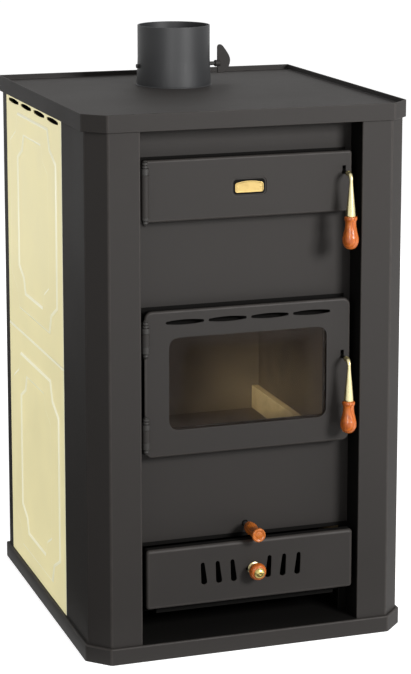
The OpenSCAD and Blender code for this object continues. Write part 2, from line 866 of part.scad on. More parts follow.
// Fin-shaped handle: upright inner edge, round top, bulging outer edge
module damper_handle() {
    w = damper_handle_w;
    up = damper_handle_up;
    down = 20;
    fin = [
        [0, -down], [0.46 * w, -down], [0.86 * w, -0.5 * down], [w, 0.1 * up], [0.88 * w, 0.42 * up],
        [0.58 * w, 0.78 * up], [0.36 * w, up], [0.14 * w, up + 2], [0, 0.94 * up]];
    hub = damper_rod_r + 3;
    color(steel) difference() {
        union() {
            translate([handle_x, 0, damper_z])
                upright(flue_y - damper_handle_t / 2, flue_y + damper_handle_t / 2) polygon(fin);
            rod_x(handle_x - damper_stub, handle_x + damper_stub, flue_y, damper_z, hub);
        }
        rod_x(handle_x - damper_stub - overcut, handle_x + damper_stub, flue_y, damper_z,
            damper_rod_r + tight_fit);
    }
}

// Doors

// Folded sheet front with round corners and its edges turned back
module folded_front(x, y, z0, z1, r, fold) {
    difference() {
        upright(y, y + fold) polygon(rounded(-x, z0, x, z1, r));
        upright(y + sheet, y + fold + overcut)
            polygon(rounded(-x + sheet, z0 + sheet, x - sheet, z1 - sheet, r - sheet / 2));
    }
}

// Slot that the latch lever passes through and rises in
module latch_slot(z) {
    block(
        [latch_x - latch_slot_w / 2, door_y - overcut, z - neck_r - 1],
        [latch_x + latch_slot_w / 2, inner_y + overcut, z - neck_r + latch_slot_up]);
}

// Turning knuckle of a hinge with the lug that joins it to the door
module knuckle(z0, z1) {
    rod_z(hinge_x, hinge_y, z0, z1, barrel_r);
    block([hinge_x + 1, hinge_y, z0], [hinge_x + barrel_r + 3, door_y + 1, z1]);
}

module knuckle_bore(z0, z1) {
    rod_z(hinge_x, hinge_y, z0 - overcut, z1 + overcut, pin_r + run_fit);
}

module upper_door_shell() {
    z1 = upper_door_z + upper_door_h;
    k0 = upper_door_z + upper_knuckle_low + seat;
    k1 = z1 - upper_knuckle_high - seat;
    badge_z = upper_door_z + upper_door_h / 2;
    color(steel) difference() {
        union() {
            folded_front(door_x, door_y, upper_door_z, z1, upper_door_r, door_fold);
            knuckle(k0, k1);
        }
        knuckle_bore(k0, k1);
        latch_slot(upper_latch_z);
        upright(door_y - overcut, door_y + badge_pocket_d)
            polygon(rounded(
                -badge_pocket_w / 2, badge_z - badge_pocket_h / 2,
                badge_pocket_w / 2, badge_z + badge_pocket_h / 2, badge_pocket_r));
    }
}

// Blank plate with an arched upper edge
module nameplate() {
    rise = 4;
    straight = badge_h - rise;
    z0 = upper_door_z + (upper_door_h - badge_h) / 2;
    top = [for (i = [0:8]) let (x = badge_w / 2 * (1 - i / 4))
        [x, straight + rise * (1 - pow(2 * x / badge_w, 2))]];
    y1 = door_y + badge_pocket_d;
    color(brass) translate([0, 0, z0])
        upright(y1 - 1.5, y1) polygon(concat([[-badge_w / 2, 0], [badge_w / 2, 0]], top));
}

// Inner pan of a door: side walls on the door's back, a back plate and the ribs round the seal
module liner_pan(z0, z1) {
    x = door_x - liner_side;
    low = z0 + liner_end;
    high = z1 - liner_end;
    groove = rib + seal_w + 2 * seat;
    difference() {
        block([-x, inner_y, low], [x, liner_y + rib_h, high]);
        block([-x + rib, inner_y - overcut, low + rib], [x - rib, liner_y - rib, high - rib]);
        difference() {
            block([-x + rib, liner_y, low + rib], [x - rib, liner_y + rib_h + overcut, high - rib]);
            block(
                [-x + groove, liner_y - overcut, low + groove],
                [x - groove, liner_y + rib_h + 2 * overcut, high - groove]);
        }
        block(
            [-x + groove + rib, liner_y, low + groove + rib],
            [x - groove - rib, liner_y + rib_h + overcut, high - groove - rib]);
    }
}

// Stub shaft that carries a latch lever, welded to the side of the liner
module latch_pivot(z) {
    rod_x(door_x - liner_side - 1, latch_x + hub_w / 2 + 1.5, pivot_y, z, pivot_r);
}

module upper_door_liner() {
    color(dark_steel) {
        liner_pan(upper_door_z, upper_door_z + upper_door_h);
        latch_pivot(upper_latch_z);
    }
}

module fire_door_liner() {
    color(dark_steel) {
        difference() {
            liner_pan(fire_door_z, fire_door_z + fire_door_h);
            block(
                [-window_x - seat, liner_y - rib - overcut, window_z0 - seat],
                [window_x + seat, liner_y + rib_h + overcut, window_z1 + seat]);
        }
        latch_pivot(fire_latch_z);
    }
}

// Rope seal in the liner's groove
module seal(z0, z1) {
    x = door_x - liner_side - rib - seat;
    low = z0 + liner_end + rib + seat;
    high = z1 - liner_end - rib - seat;
    r = 5;
    color(seal_rope) difference() {
        upright(liner_y, liner_y + seal_t) polygon(rounded(-x, low, x, high, r / 5));
        upright(liner_y - overcut, liner_y + seal_t + overcut)
            polygon(rounded(-x + seal_w, low + seal_w, x - seal_w, high - seal_w, r / 5));
    }
}

module fire_door_shell() {
    z1 = fire_door_z + fire_door_h;
    color(steel) difference() {
        union() {
            folded_front(door_x, door_y, fire_door_z, z1, fire_door_r, door_fold);
            for (z = fire_hinge_z) knuckle(z + fire_knuckle + seat, z + fire_barrel_h - fire_knuckle - seat);
        }
        for (z = fire_hinge_z)
            knuckle_bore(z + fire_knuckle, z + fire_barrel_h - fire_knuckle);
        latch_slot(fire_latch_z);
        upright(door_y - overcut, inner_y + overcut)
            polygon(rounded(-window_x, window_z0, window_x, window_z1, window_r));
        for (i = [0:door_vents - 1])
            translate([(i - (door_vents - 1) / 2) * door_vent_pitch, 0, z1 - door_vent_drop])
                upright(door_y - overcut, inner_y + overcut)
                    polygon(vent(door_vent_l, vent_h, vent_end_h));
    }
}

module fire_door_glass() {
    color(clear_glass)
        block(
            [-window_x - glass_lap, inner_y + seat, window_z0 - glass_lap],
            [window_x + glass_lap, inner_y + seat + glass_t, window_z1 + glass_lap]);
}

// Four clips on the liner's side walls that hold the glass to the door
module glass_clips() {
    x1 = door_x - liner_side - rib - seat;
    y0 = inner_y + 2 * seat + glass_t;
    clip_w = 18;
    color(zinc) for (s = [0, 1], z = [window_z0 + 25, window_z1 - 25])
        mirror([s, 0, 0])
            block([window_x + 1, y0, z - clip_w / 2], [x1, y0 + 2, z + clip_w / 2]);
}

// Fixed half of a hinge: two knuckles on one bracket from the front plate
module hinge_bracket(z0, z1, low, high) {
    difference() {
        for (span = [[z0, z0 + low], [z1 - high, z1]]) {
            rod_z(hinge_x, hinge_y, span[0], span[1], barrel_r);
            block(
                [hinge_x - barrel_r, hinge_y, span[0]],
                [hinge_x - barrel_r + bracket_t, plate_y, span[1]]);
        }
        rod_z(hinge_x, hinge_y, z0 - overcut, z1 + overcut, pin_r + tight_fit);
    }
}

// Hinge pin with a ball at its foot and a ring at its head
module hinge_pin(z0, z1) {
    rod_z(hinge_x, hinge_y, z0 - 1, z1 + 1, pin_r);
    translate([hinge_x, hinge_y, z0 - seat]) rotate([180, 0, 0]) rod_z(0, 0, 0, 3, pin_r + 2);
    rod_z(hinge_x, hinge_y, z1 + seat, z1 + 3, pin_r + 2);
}

module upper_hinge_bracket() {
    color(steel) hinge_bracket(
        upper_door_z, upper_door_z + upper_door_h, upper_knuckle_low, upper_knuckle_high);
}

module upper_hinge_pin() {
    color(steel) hinge_pin(upper_door_z, upper_door_z + upper_door_h);
}

module fire_hinge_brackets() {
    color(steel) for (z = fire_hinge_z)
        hinge_bracket(z, z + fire_barrel_h, fire_knuckle, fire_knuckle);
}

module fire_hinge_pins() {
    color(steel) for (z = fire_hinge_z) hinge_pin(z, z + fire_barrel_h);
}

// Latch lever: hub on its pivot, hook behind, neck through the slot, bend and hanging cone
module latch_lever(z) {
    bend_y = hang_y + bend_r;
    color(brass) difference() {
        union() {
            rod_x(latch_x - hub_w / 2, latch_x + hub_w / 2, pivot_y, z, hub_r);
            rod_y(latch_x, bend_y, pivot_y, z, neck_r);
            block([latch_x - neck_r, pivot_y, z - neck_r], [latch_x + neck_r, pivot_y + hook_l, z + neck_r]);
            block(
                [latch_x - neck_r, pivot_y + hook_l - hook_tip, z],
                [latch_x + neck_r, pivot_y + hook_l, z + neck_r + hook_tip]);
            translate([latch_x, bend_y, z - bend_r]) rotate([90, 0, 90]) rotate([0, 0, 90])
                rotate_extrude(angle = 90) translate([bend_r, 0]) circle(r = neck_r);
            translate([latch_x, hang_y, z - grip_drop])
                cylinder(r1 = lever_r, r2 = neck_r, h = grip_drop - bend_r);
            rod_z(latch_x, hang_y, z - grip_drop - tang_l, z - grip_drop, tang_r);
        }
        rod_x(latch_x - hub_w, latch_x + hub_w, pivot_y, z, pivot_r + run_fit);
    }
}

// Pear-shaped grip: collar, neck, full lower third, round end
module latch_grip(z) {
    r = grip_r;
    h = grip_h;
    outline = [
        [0, 0], [0.36 * r, 0.01 * h], [0.68 * r, 0.06 * h], [0.9 * r, 0.15 * h], [r, 0.28 * h],
        [0.97 * r, 0.42 * h], [0.86 * r, 0.6 * h], [0.77 * r, 0.76 * h], [0.75 * r, 0.84 * h],
        [0.82 * r, 0.88 * h], [0.86 * r, 0.93 * h], [0.8 * r, h], [0, h]];
    color(varnished_wood) difference() {
        translate([latch_x, hang_y, z - grip_drop - h]) rotate_extrude() polygon(outline);
        rod_z(latch_x, hang_y, z - grip_drop - tang_l - seat, z - grip_drop + overcut,
            tang_r + tight_fit);
    }
}

// Strike on the front plate, over the latch's hook
module keeper(z) {
    low = z + neck_r + hook_tip + 2 * seat;
    color(zinc)
        block([latch_x - 5, pivot_y + hook_l - hook_tip, low], [latch_x + 5, plate_y, low + 6]);
}

// Ash drawer

// Air slots with round ends on both sides, leaning outwards at the top
module air_slots_2d() {
    foot_r = air_slot_foot / 2;
    top_r = air_slot_top / 2;
    for (s = [0, 1], i = [0:air_slots - 1]) mirror([s, 0, 0]) {
        x = air_slot_first + i * air_slot_pitch;
        top = x + air_slot_lean;
        polygon(concat(
            arc(x, foot_r - air_slot_h / 2, foot_r, 180), arc(x, foot_r - air_slot_h / 2, foot_r, 270),
            arc(top, air_slot_h / 2 - top_r, top_r, 0), arc(top, air_slot_h / 2 - top_r, top_r, 90)));
    }
}

module ash_drawer_front() {
    z1 = drawer_z + drawer_h;
    half = shutter_h / 2 + seat;
    rail_x = shutter_x + shutter_travel;
    rail_y = drawer_inner_y + 2 * seat + shutter_t;
    color(steel) {
        difference() {
            folded_front(drawer_x, drawer_y, drawer_z, z1, drawer_r, drawer_fold);
            translate([0, 0, air_z]) upright(drawer_y - overcut, drawer_inner_y + overcut) {
                air_slots_2d();
                polygon(rounded(
                    knob_x - shutter_travel - stem_r - seat, -stem_r - seat,
                    knob_x + stem_r + seat, stem_r + seat, stem_r));
            }
        }
        for (s = [0, 1]) translate([0, 0, air_z]) mirror([0, 0, s]) {
            block([-rail_x, drawer_inner_y, half], [rail_x, rail_y + 2, half + rail_t]);
            block([-rail_x, rail_y, half - rail_lip], [rail_x, rail_y + 2, half]);
        }
    }
}

module air_shutter() {
    y0 = drawer_inner_y + seat;
    color(dark_steel) translate([0, 0, air_z]) upright(y0, y0 + shutter_t) difference() {
        polygon([
            [-shutter_x, -shutter_h / 2], [shutter_x, -shutter_h / 2],
            [shutter_x, shutter_h / 2], [-shutter_x, shutter_h / 2]]);
        air_slots_2d();
    }
}

module ash_pan() {
    y1 = drawer_inner_y + pan_l;
    z1 = pan_z + pan_h;
    low_front = 42;
    color(dark_steel) {
        difference() {
            block([-pan_x, drawer_inner_y, drawer_z + sheet + seat], [pan_x, y1, z1]);
            block(
                [-pan_x + pan_t, drawer_inner_y - overcut, pan_z],
                [pan_x - pan_t, y1 - pan_t, z1 + overcut]);
        }
        difference() {
            block([-pan_x, pan_front_y, pan_z], [pan_x, y1, pan_z + low_front]);
            block(
                [-pan_x + pan_t, pan_front_y + pan_t, pan_z + pan_t],
                [pan_x - pan_t, y1 - pan_t, pan_z + low_front + overcut]);
        }
    }
}

// Stem that joins the knob to the shutter, with the ferrule at its foot
module air_knob_stem() {
    color(brass) {
        rod_y(knob_x, drawer_y - ferrule_l - ball_l - cap_l / 2, drawer_inner_y + seat, air_z, stem_r);
        rod_y(knob_x, drawer_y - ferrule_l, drawer_y - seat, air_z, ferrule_r);
    }
}

// Ball with a flat at each end
module air_knob_ball() {
    y1 = drawer_y - ferrule_l;
    steps = 6;
    half = asin(ball_l / (2 * air_knob_r));
    side = [for (i = [-steps:steps]) [
        air_knob_r * cos(half * i / steps), ball_l / 2 + air_knob_r * sin(half * i / steps)]];
    color(varnished_wood) difference() {
        translate([knob_x, y1, air_z]) rotate([90, 0, 0])
            rotate_extrude() polygon(concat([[0, 0]], side, [[0, ball_l]]));
        rod_y(knob_x, y1 - ball_l - overcut, y1 + overcut, air_z, stem_r + tight_fit);
    }
}

module air_knob_cap() {
    y1 = drawer_y - ferrule_l - ball_l;
    section = [
        [0, 0], [cap_r, 0], [cap_r, 2], [0.9 * cap_r, 4.2], [0.7 * cap_r, 6], [0.45 * cap_r, cap_l],
        [cap_hole_r, cap_l], [cap_hole_r, cap_l - 2], [0, cap_l - 2]];
    color(brass) difference() {
        translate([knob_x, y1, air_z]) rotate([90, 0, 0]) rotate_extrude() polygon(section);
        rod_y(knob_x, y1 - cap_l / 2 - seat, y1 + overcut, air_z, stem_r + tight_fit);
    }
}

base_plinth();
base_plate();
left_side() column();  // column_left
column();  // column_right
left_side() rear_post();  // rear_post_left
rear_post();  // rear_post_right
left_side() panel_lower();  // panel_left_lower
left_side() panel_upper();  // panel_left_upper
panel_lower();  // panel_right_lower
panel_upper();  // panel_right_upper
rear_panel();
casing_screws();
top_cover();
front_plate();
boiler_stands();
ash_floor();
left_side() side_jacket();  // jacket_left
side_jacket();  // jacket_right
jacket_rear();
jacket_crown();
socket(-socket_x, socket_high_z, main_socket_r, main_bore_r);  // supply_socket
socket(socket_x, socket_low_z, main_socket_r, main_bore_r);  // return_socket
socket(-socket_x, socket_low_z, small_socket_r, small_bore_r);  // drain_socket
socket(socket_x, socket_high_z, small_socket_r, small_bore_r);  // sensor_socket
smoke_baffle();
hearth_plate();
kerb_bricks();
shaker_grate();
shaker_rod();
shaker_knob();
flue_sleeve();
flue_collar();
damper_disc();
damper_shaft();
damper_handle();
upper_door_shell();
upper_door_liner();
seal(upper_door_z, upper_door_z + upper_door_h);  // upper_door_seal
nameplate();
upper_hinge_bracket();
upper_hinge_pin();
keeper(upper_latch_z);  // upper_keeper
latch_lever(upper_latch_z);  // upper_latch_lever
latch_grip(upper_latch_z);  // upper_latch_grip
fire_door_shell();
fire_door_liner();
fire_door_glass();
glass_clips();
seal(fire_door_z, fire_door_z + fire_door_h);  // fire_door_seal
fire_hinge_brackets();
fire_hinge_pins();
keeper(fire_latch_z);  // fire_keeper
latch_lever(fire_latch_z);  // fire_latch_lever
latch_grip(fire_latch_z);  // fire_latch_grip
ash_drawer_front();
ash_pan();
air_shutter();
air_knob_stem();
air_knob_ball();
air_knob_cap();
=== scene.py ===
import json
import logging
import math
from collections.abc import Callable, Mapping, Sequence
from dataclasses import dataclass
from enum import Enum

import bmesh
import bpy
from bmesh.types import BMEdge, BMFace, BMVert
from bpy.types import Material, NodeSocket, Object
from mathutils import Matrix, Quaternion, Vector


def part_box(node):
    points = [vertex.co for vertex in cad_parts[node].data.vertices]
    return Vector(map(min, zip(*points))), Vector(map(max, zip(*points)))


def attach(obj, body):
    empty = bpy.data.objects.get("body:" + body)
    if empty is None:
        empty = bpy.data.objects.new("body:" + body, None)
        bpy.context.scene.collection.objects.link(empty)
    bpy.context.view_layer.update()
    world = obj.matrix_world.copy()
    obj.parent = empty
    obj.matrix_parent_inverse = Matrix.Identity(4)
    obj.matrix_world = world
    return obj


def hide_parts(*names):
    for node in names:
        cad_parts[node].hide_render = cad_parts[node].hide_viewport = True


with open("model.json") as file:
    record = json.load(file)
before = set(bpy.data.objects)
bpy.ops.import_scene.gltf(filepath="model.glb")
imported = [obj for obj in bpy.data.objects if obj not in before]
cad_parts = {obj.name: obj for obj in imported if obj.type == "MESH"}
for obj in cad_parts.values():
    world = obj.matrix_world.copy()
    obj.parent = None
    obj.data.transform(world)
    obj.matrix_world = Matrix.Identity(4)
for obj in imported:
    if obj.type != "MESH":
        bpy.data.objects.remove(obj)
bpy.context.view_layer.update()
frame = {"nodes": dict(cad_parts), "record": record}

LOG = logging.getLogger("stove")
MM = 0.001
NEAR = 0.05 * MM
WELD = 0.002 * MM
WHITE = (1.0, 1.0, 1.0, 1.0)
UP = Vector((0.0, 0.0, 1.0))
RECORD = frame["record"]
SLOT_OF = {part["node"]: part["material_slot"] for part in RECORD["subparts"]}
BODY_OF = {node: body for body, nodes in RECORD["behaviour"]["bodies"].items() for node in nodes}
Colour = tuple[int, int, int]
Pair = tuple[float, float]
Triple = tuple[float, float, float]


class Slot(Enum):
    """Material slots of the record that this script names itself."""

    PAINTED = "painted_steel"
    BLACK = "black_steel"
    BOILER = "boiler_steel"
    IRON = "cast_iron"
    ZINC = "zinc_steel"


class Work(Enum):
    """What is worked out from two values."""

    ADD = "ADD"
    SUBTRACT = "SUBTRACT"
    MULTIPLY = "MULTIPLY"
    MAXIMUM = "MAXIMUM"
    ABSOLUTE = "ABSOLUTE"
    SINE = "SINE"


class Wave(Enum):
    """Form of a striped pattern."""

    BANDS = "BANDS"
    RINGS = "RINGS"


class Axis(Enum):
    """Direction that a turned piece or a grain runs in."""

    X = (1.0, 0.0, 0.0)
    Y = (0.0, 1.0, 0.0)
    FRONT = (0.0, -1.0, 0.0)
    Z = (0.0, 0.0, 1.0)

    def turn(self) -> Quaternion:
        """Rotation that takes the upright axis to this one."""
        return UP.rotation_difference(Vector(self.value))


def shade(colour: Colour, lift: float = 1.0) -> tuple[float, float, float, float]:
    """Linear colour of a display colour.

    Args:
        colour: Red, green and blue from 0 to 255.
        lift: Factor on the linear values.

    Returns:
        Linear red, green, blue and an alpha of 1.
    """
    parts = [c / 255 for c in colour]
    linear = [c / 12.92 if c <= 0.04045 else ((c + 0.055) / 1.055) ** 2.4 for c in parts]
    return (linear[0] * lift, linear[1] * lift, linear[2] * lift, 1.0)


def in_mm(*points: Pair) -> list[Pair]:
    """Points given in millimetres, turned into metres."""
    return [(a * MM, b * MM) for a, b in points]


def scaled(share: Sequence[Pair], radius: float, length: float) -> list[Pair]:
    """Profile from the shares that its points have of the radius and the length."""
    return [(r * radius, h * length) for r, h in share]


# Finishes


class Tree:
    """Node tree of a material or a sky, with short calls that add nodes and join them."""

    def __init__(self, owner: Material | bpy.types.World) -> None:
        """Start an empty tree.

        Args:
            owner: What the tree belongs to.
        """
        owner.use_nodes = True
        self.tree = owner.node_tree
        self.tree.nodes.clear()

    def join(self, value: object, socket: NodeSocket) -> None:
        """Link an input to another socket, or set its value.

        Args:
            value: The socket or the value.
            socket: The input.
        """
        if isinstance(value, NodeSocket):
            self.tree.links.new(value, socket)
        else:
            socket.default_value = value

    def node(
        self, kind: str, sockets: Mapping[str | int, object], **choices: object
    ) -> bpy.types.Node:
        """Add a node and join its inputs.

        Args:
            kind: Type of the node without its prefix.
            sockets: What goes into its inputs, by their name or place.
            choices: The node's own settings.

        Returns:
            The node.
        """
        node = self.tree.nodes.new("ShaderNode" + kind)
        for name, value in choices.items():
            setattr(node, name, value)
        for name, value in sockets.items():
            self.join(value, node.inputs[name])
        return node

    def spread(
        self, value: object, low: float, high: float, to_low: object = 0.0, to_high: float = 1.0
    ) -> NodeSocket:
        """Map a value from one range to another, clamped."""
        numbers = dict(enumerate((value, low, high, to_low, to_high)))
        return self.node("MapRange", numbers).outputs["Result"]

    def sum(self, first: object, second: object, work: Work = Work.ADD) -> NodeSocket:
        """Join two values by a sum or another operation."""
        return self.node("Math", {0: first, 1: second}, operation=work.value).outputs[0]

    def times(self, first: object, second: object) -> NodeSocket:
        """Product of two values."""
        return self.sum(first, second, Work.MULTIPLY)


class Recipe(Tree):
    """Node tree of one material, with its patterns and its main shader."""

    def __init__(self, name: str) -> None:
        """Start a material with one main shader.

        Args:
            name: Name of the material.
        """
        self.material = bpy.data.materials.new(name)
        super().__init__(self.material)
        self.shader = self.node("BsdfPrincipled", {})
        self.node("OutputMaterial", {"Surface": self.shader.outputs["BSDF"]})

    def set(self, **sockets: object) -> Material:
        """Finish the main shader.

        Args:
            sockets: What goes into its inputs, their names written with underscores.

        Returns:
            The material.
        """
        for name, value in sockets.items():
            self.join(value, self.shader.inputs[name.replace("_", " ")])
        return self.material

    def place(
        self,
        centre: Sequence[float] = (0.0, 0.0, 0.0),
        axis: Axis = Axis.Z,
        stretch: Triple = (1.0, 1.0, 1.0),
    ) -> NodeSocket:
        """Object coordinates centred on a piece.

        Args:
            centre: Point that becomes the origin, in metres.
            axis: Direction that becomes the pattern's upright.
            stretch: Factors across, across and along the axis.

        Returns:
            The vector socket.
        """
        where = self.node("TexCoord", {}).outputs["Object"]
        move = self.node("VectorMath", {0: where, 1: tuple(centre)}, operation="SUBTRACT")
        lean = axis.turn().inverted().to_euler()
        turn = self.node("Mapping", {"Vector": move.outputs[0], "Rotation": lean})
        scale = {0: turn.outputs["Vector"], 1: stretch}
        return self.node("VectorMath", scale, operation="MULTIPLY").outputs[0]

    def noise(
        self, where: NodeSocket, size: float, detail: float = 3.0, rough: float = 0.5
    ) -> NodeSocket:
        """Cloudy pattern with forms of about the given size in metres."""
        sockets = {"Vector": where, "Scale": 0.5 / size, "Detail": detail, "Roughness": rough}
        return self.node("TexNoise", sockets).outputs["Fac"]

    def cells(self, where: NodeSocket, size: float) -> NodeSocket:
        """Distance to the nearest cell centre, with cells of about the given size."""
        return self.node("TexVoronoi", {"Vector": where, "Scale": 1 / size}).outputs["Distance"]

    def rings(
        self, where: NodeSocket, size: float, bend: float, kind: Wave = Wave.BANDS
    ) -> NodeSocket:
        """Bands along the upright axis, or rings round it.

        Args:
            where: Coordinates.
            size: Width of a band in metres.
            bend: How far noise bends the bands.
            kind: Form of the pattern.

        Returns:
            The pattern's value socket.
        """
        sockets = {"Vector": where, "Scale": 0.314 / size, "Distortion": bend, "Detail": 2.0}
        ways = {"wave_type": kind.value, "rings_direction": "Z", "bands_direction": "Z"}
        return self.node("TexWave", sockets, **ways).outputs["Fac"]

    def tint(self, share: object, first: object, second: object) -> NodeSocket:
        """Mix two colours by a share from 0 to 1."""
        return self.node("Mix", {0: share, 6: first, 7: second}, data_type="RGBA").outputs[2]

    def clouds(self, cloud: NodeSocket, first: object, second: object) -> NodeSocket:
        """Mix two colours by the middle of a cloudy pattern's range."""
        return self.tint(self.spread(cloud, 0.3, 0.7), first, second)

    def relief(
        self, height: NodeSocket, depth: float, under: NodeSocket | None = None
    ) -> NodeSocket:
        """Surface relief from a pattern, with the depth in metres."""
        sockets = {"Distance": depth, "Height": height} | ({"Normal": under} if under else {})
        return self.node("Bump", sockets).outputs["Normal"]

    def folds(self) -> NodeSocket:
        """1 on the rounded edges of a piece and 0 on its flats."""
        return self.node("Attribute", {}, attribute_name="fold").outputs["Fac"]

    def axis_parts(self, where: NodeSocket) -> tuple[NodeSocket, ...]:
        """The three coordinates apart."""
        return tuple(self.node("SeparateXYZ", {0: where}).outputs)


@dataclass(frozen=True)
class StovePaint:
    """Heat-proof matt paint on sheet steel, with a fine grain and lighter folds, partly wear and
    partly a painted highlight.
    """

    name: str
    colour: Colour
    grain: float = 1.1 * MM
    roughness: Pair = (0.58, 0.7)
    relief: float = 0.03 * MM
    gloss: float = 0.3
    # Lift of the folds' colour: partly polished wear, partly a painted highlight on the bends.
    wear_and_highlight_lift: float = 2.2

    def material(self) -> Material:
        """Build the material.

        Returns:
            The material.
        """
        mix = Recipe(self.name)
        where = mix.place()
        grain = mix.noise(where, self.grain, 2.0)
        cloud = mix.noise(where, 90 * MM, 4.0, 0.6)
        colour = mix.clouds(cloud, shade(self.colour, 0.92), shade(self.colour, 1.08))
        colour = mix.tint(mix.spread(grain, 0.35, 0.7, 0.0, 0.3), colour, shade(self.colour, 1.25))
        # Rounded folds are lightened: partly wear, partly a painted highlight along the bends.
        patch = mix.spread(mix.noise(where, 12 * MM), 0.3, 0.7, 0.3, 0.6)
        wear_and_highlight = mix.times(mix.folds(), patch)
        rough = mix.spread(mix.sum(cloud, grain), 0.6, 1.4, *self.roughness)
        return mix.set(
            Base_Color=mix.tint(wear_and_highlight, colour, shade(self.colour, self.wear_and_highlight_lift)),
            Roughness=mix.sum(rough, mix.times(wear_and_highlight, 0.15), Work.SUBTRACT),
            Specular_IOR_Level=self.gloss,
            Normal=mix.relief(grain, self.relief),
        )


@dataclass(frozen=True)
class VitreousEnamel:
    """Glossy cream enamel fired on pressed steel, lighter on its folds, partly as thinner enamel
    and partly as a painted highlight.
    """

    name: str
    colour: Colour
    # Colour of the marked folds: thinner enamel, and a painted highlight on the band's slopes and
    # along the seam.
    edge: Colour

    def material(self) -> Material:
        """Build the material.

        Returns:
            The material.
        """
        mix = Recipe(self.name)
        where = mix.place()
        cloud = mix.noise(where, 60 * MM)
        colour = mix.clouds(cloud, shade(self.colour, 0.97), shade(self.colour, 1.02))
        # Marked folds take the edge colour: partly thinner enamel, partly a painted highlight.
        colour = mix.tint(mix.times(mix.folds(), 0.9), colour, shade(self.edge))
        speck = mix.spread(mix.cells(where, 9 * MM), 0.0, 0.06, 0.08, 0.0)
        waves = mix.relief(mix.noise(where, 90 * MM, 1.0), 0.03 * MM)
        satin = mix.spread(cloud, 0.3, 0.7, 0.44, 0.52)
        return mix.set(
            Base_Color=mix.tint(speck, colour, shade(self.colour, 0.7)),
            Roughness=mix.sum(satin, mix.times(mix.folds(), 0.14), Work.SUBTRACT),
            Specular_IOR_Level=0.32,
            Normal=mix.relief(mix.noise(where, 2.5 * MM, 2.0), 0.003 * MM, waves),
        )


@dataclass(frozen=True)
class Brass:
    """Polished turned brass with faint tool lines and a little tarnish."""

    name: str
    centre: Sequence[float]
    axis: Axis = Axis.Z
    lines: float = 0.9 * MM
    colour: Colour = (240, 228, 178)
    tarnish: Colour = (196, 168, 100)
    rough: Pair = (0.26, 0.4)

    def material(self) -> Material:
        """Build the material.

        Returns:
            The material.
        """
        mix = Recipe(self.name)
        where = mix.place(self.centre, self.axis)
        cloud = mix.noise(where, 9 * MM, 4.0, 0.65)
        lines = mix.rings(where, self.lines, 0.4)
        dull = mix.spread(cloud, 0.5, 0.8, 0.0, 0.5)
        worked = mix.sum(cloud, mix.times(lines, 0.1))
        return mix.set(
            Base_Color=mix.tint(dull, shade(self.colour), shade(self.tarnish)),
            Metallic=1.0,
            Roughness=mix.spread(worked, 0.4, 0.9, *self.rough),
            Normal=mix.relief(lines, 0.002 * MM),
        )


@dataclass(frozen=True)
class VarnishedWood:
    """Turned beech under orange-brown varnish, its grain along the turning axis."""

    name: str
    centre: Sequence[float]
    axis: Axis = Axis.Z
    light: Colour = (222, 120, 38)
    dark: Colour = (160, 68, 14)

    def along(self, mix: Recipe, length: float, shift: float = 0.0) -> NodeSocket:
        """Coordinates drawn out along the grain, moved off the turning axis by a shift."""
        centre = [c + shift for c in self.centre]
        return mix.place(centre, self.axis, (1.0, 1.0, length))

    def material(self) -> Material:
        """Build the material.

        Returns:
            The material.
        """
        mix = Recipe(self.name)
        grain = mix.noise(self.along(mix, 0.08), 1.1 * MM, 4.0, 0.6)
        years = mix.rings(self.along(mix, 0.25, 11 * MM), 3.2 * MM, 1.6, Wave.RINGS)
        flecks = mix.noise(self.along(mix, 0.18), 0.45 * MM, 2.0)
        fine = mix.spread(grain, 0.3, 0.7, 0.0, 0.6)
        share = mix.sum(fine, mix.spread(years, 0.2, 0.9, 0.0, 0.4))
        colour = mix.tint(share, shade(self.light), shade(self.dark))
        pore = mix.spread(flecks, 0.64, 0.74, 0.0, 0.3)
        return mix.set(
            Base_Color=mix.tint(pore, colour, shade(self.dark, 0.7)),
            Roughness=mix.spread(grain, 0.3, 0.7, 0.34, 0.44),
            Specular_IOR_Level=0.3,
            Coat_Weight=0.4,
            Coat_Roughness=0.2,
            Normal=mix.relief(grain, 0.015 * MM),
        )


@dataclass(frozen=True)
class RoughIron:
    """Sand-cast iron with soot in clouds."""

    name: str
    colour: Colour
    soot: Colour
    grain: float
    relief: float

    def material(self) -> Material:
        """Build the material.

        Returns:
            The material.
        """
        mix = Recipe(self.name)
        where = mix.place()
        grain = mix.noise(where, self.grain, 4.0, 0.6)
        cloud = mix.noise(where, 45 * MM, 4.0, 0.6)
        colour = mix.tint(mix.spread(cloud, 0.38, 0.62), shade(self.colour), shade(self.soot))
        bare = mix.spread(grain, 0.5, 0.8, 0.0, 0.4)
        return mix.set(
            Base_Color=mix.tint(bare, colour, shade(self.colour, 1.5)),
            Roughness=mix.spread(mix.sum(cloud, grain), 0.6, 1.4, 0.6, 0.85),
            Normal=mix.relief(grain, self.relief),
        )


@dataclass(frozen=True)
class SootyPlate:
    """Boiler plate under fly ash low down and soot higher up, smooth as both lie on it."""

    name: str
    ash: Colour
    soot: Colour
    low: float
    high: float

    def material(self) -> Material:
        """Build the material.

        Returns:
            The material.
        """
        mix = Recipe(self.name)
        where = mix.place()
        cloud = mix.noise(where, 70 * MM, 4.0, 0.55)
        fine = mix.noise(where, 5 * MM)
        height = mix.spread(mix.axis_parts(where)[2], self.low, self.high)
        share = mix.sum(height, mix.spread(cloud, 0.3, 0.7, -0.3, 0.3))
        colour = mix.tint(mix.spread(share, 0.0, 1.0), shade(self.ash), shade(self.soot))
        speck = mix.spread(fine, 0.4, 0.75, 0.0, 0.05)
        return mix.set(
            Base_Color=mix.tint(speck, colour, shade(self.ash, 1.1)),
            Roughness=mix.spread(mix.sum(cloud, fine), 0.6, 1.4, 0.75, 0.92),
            Specular_IOR_Level=0.2,
            Normal=mix.relief(fine, 0.02 * MM),
        )


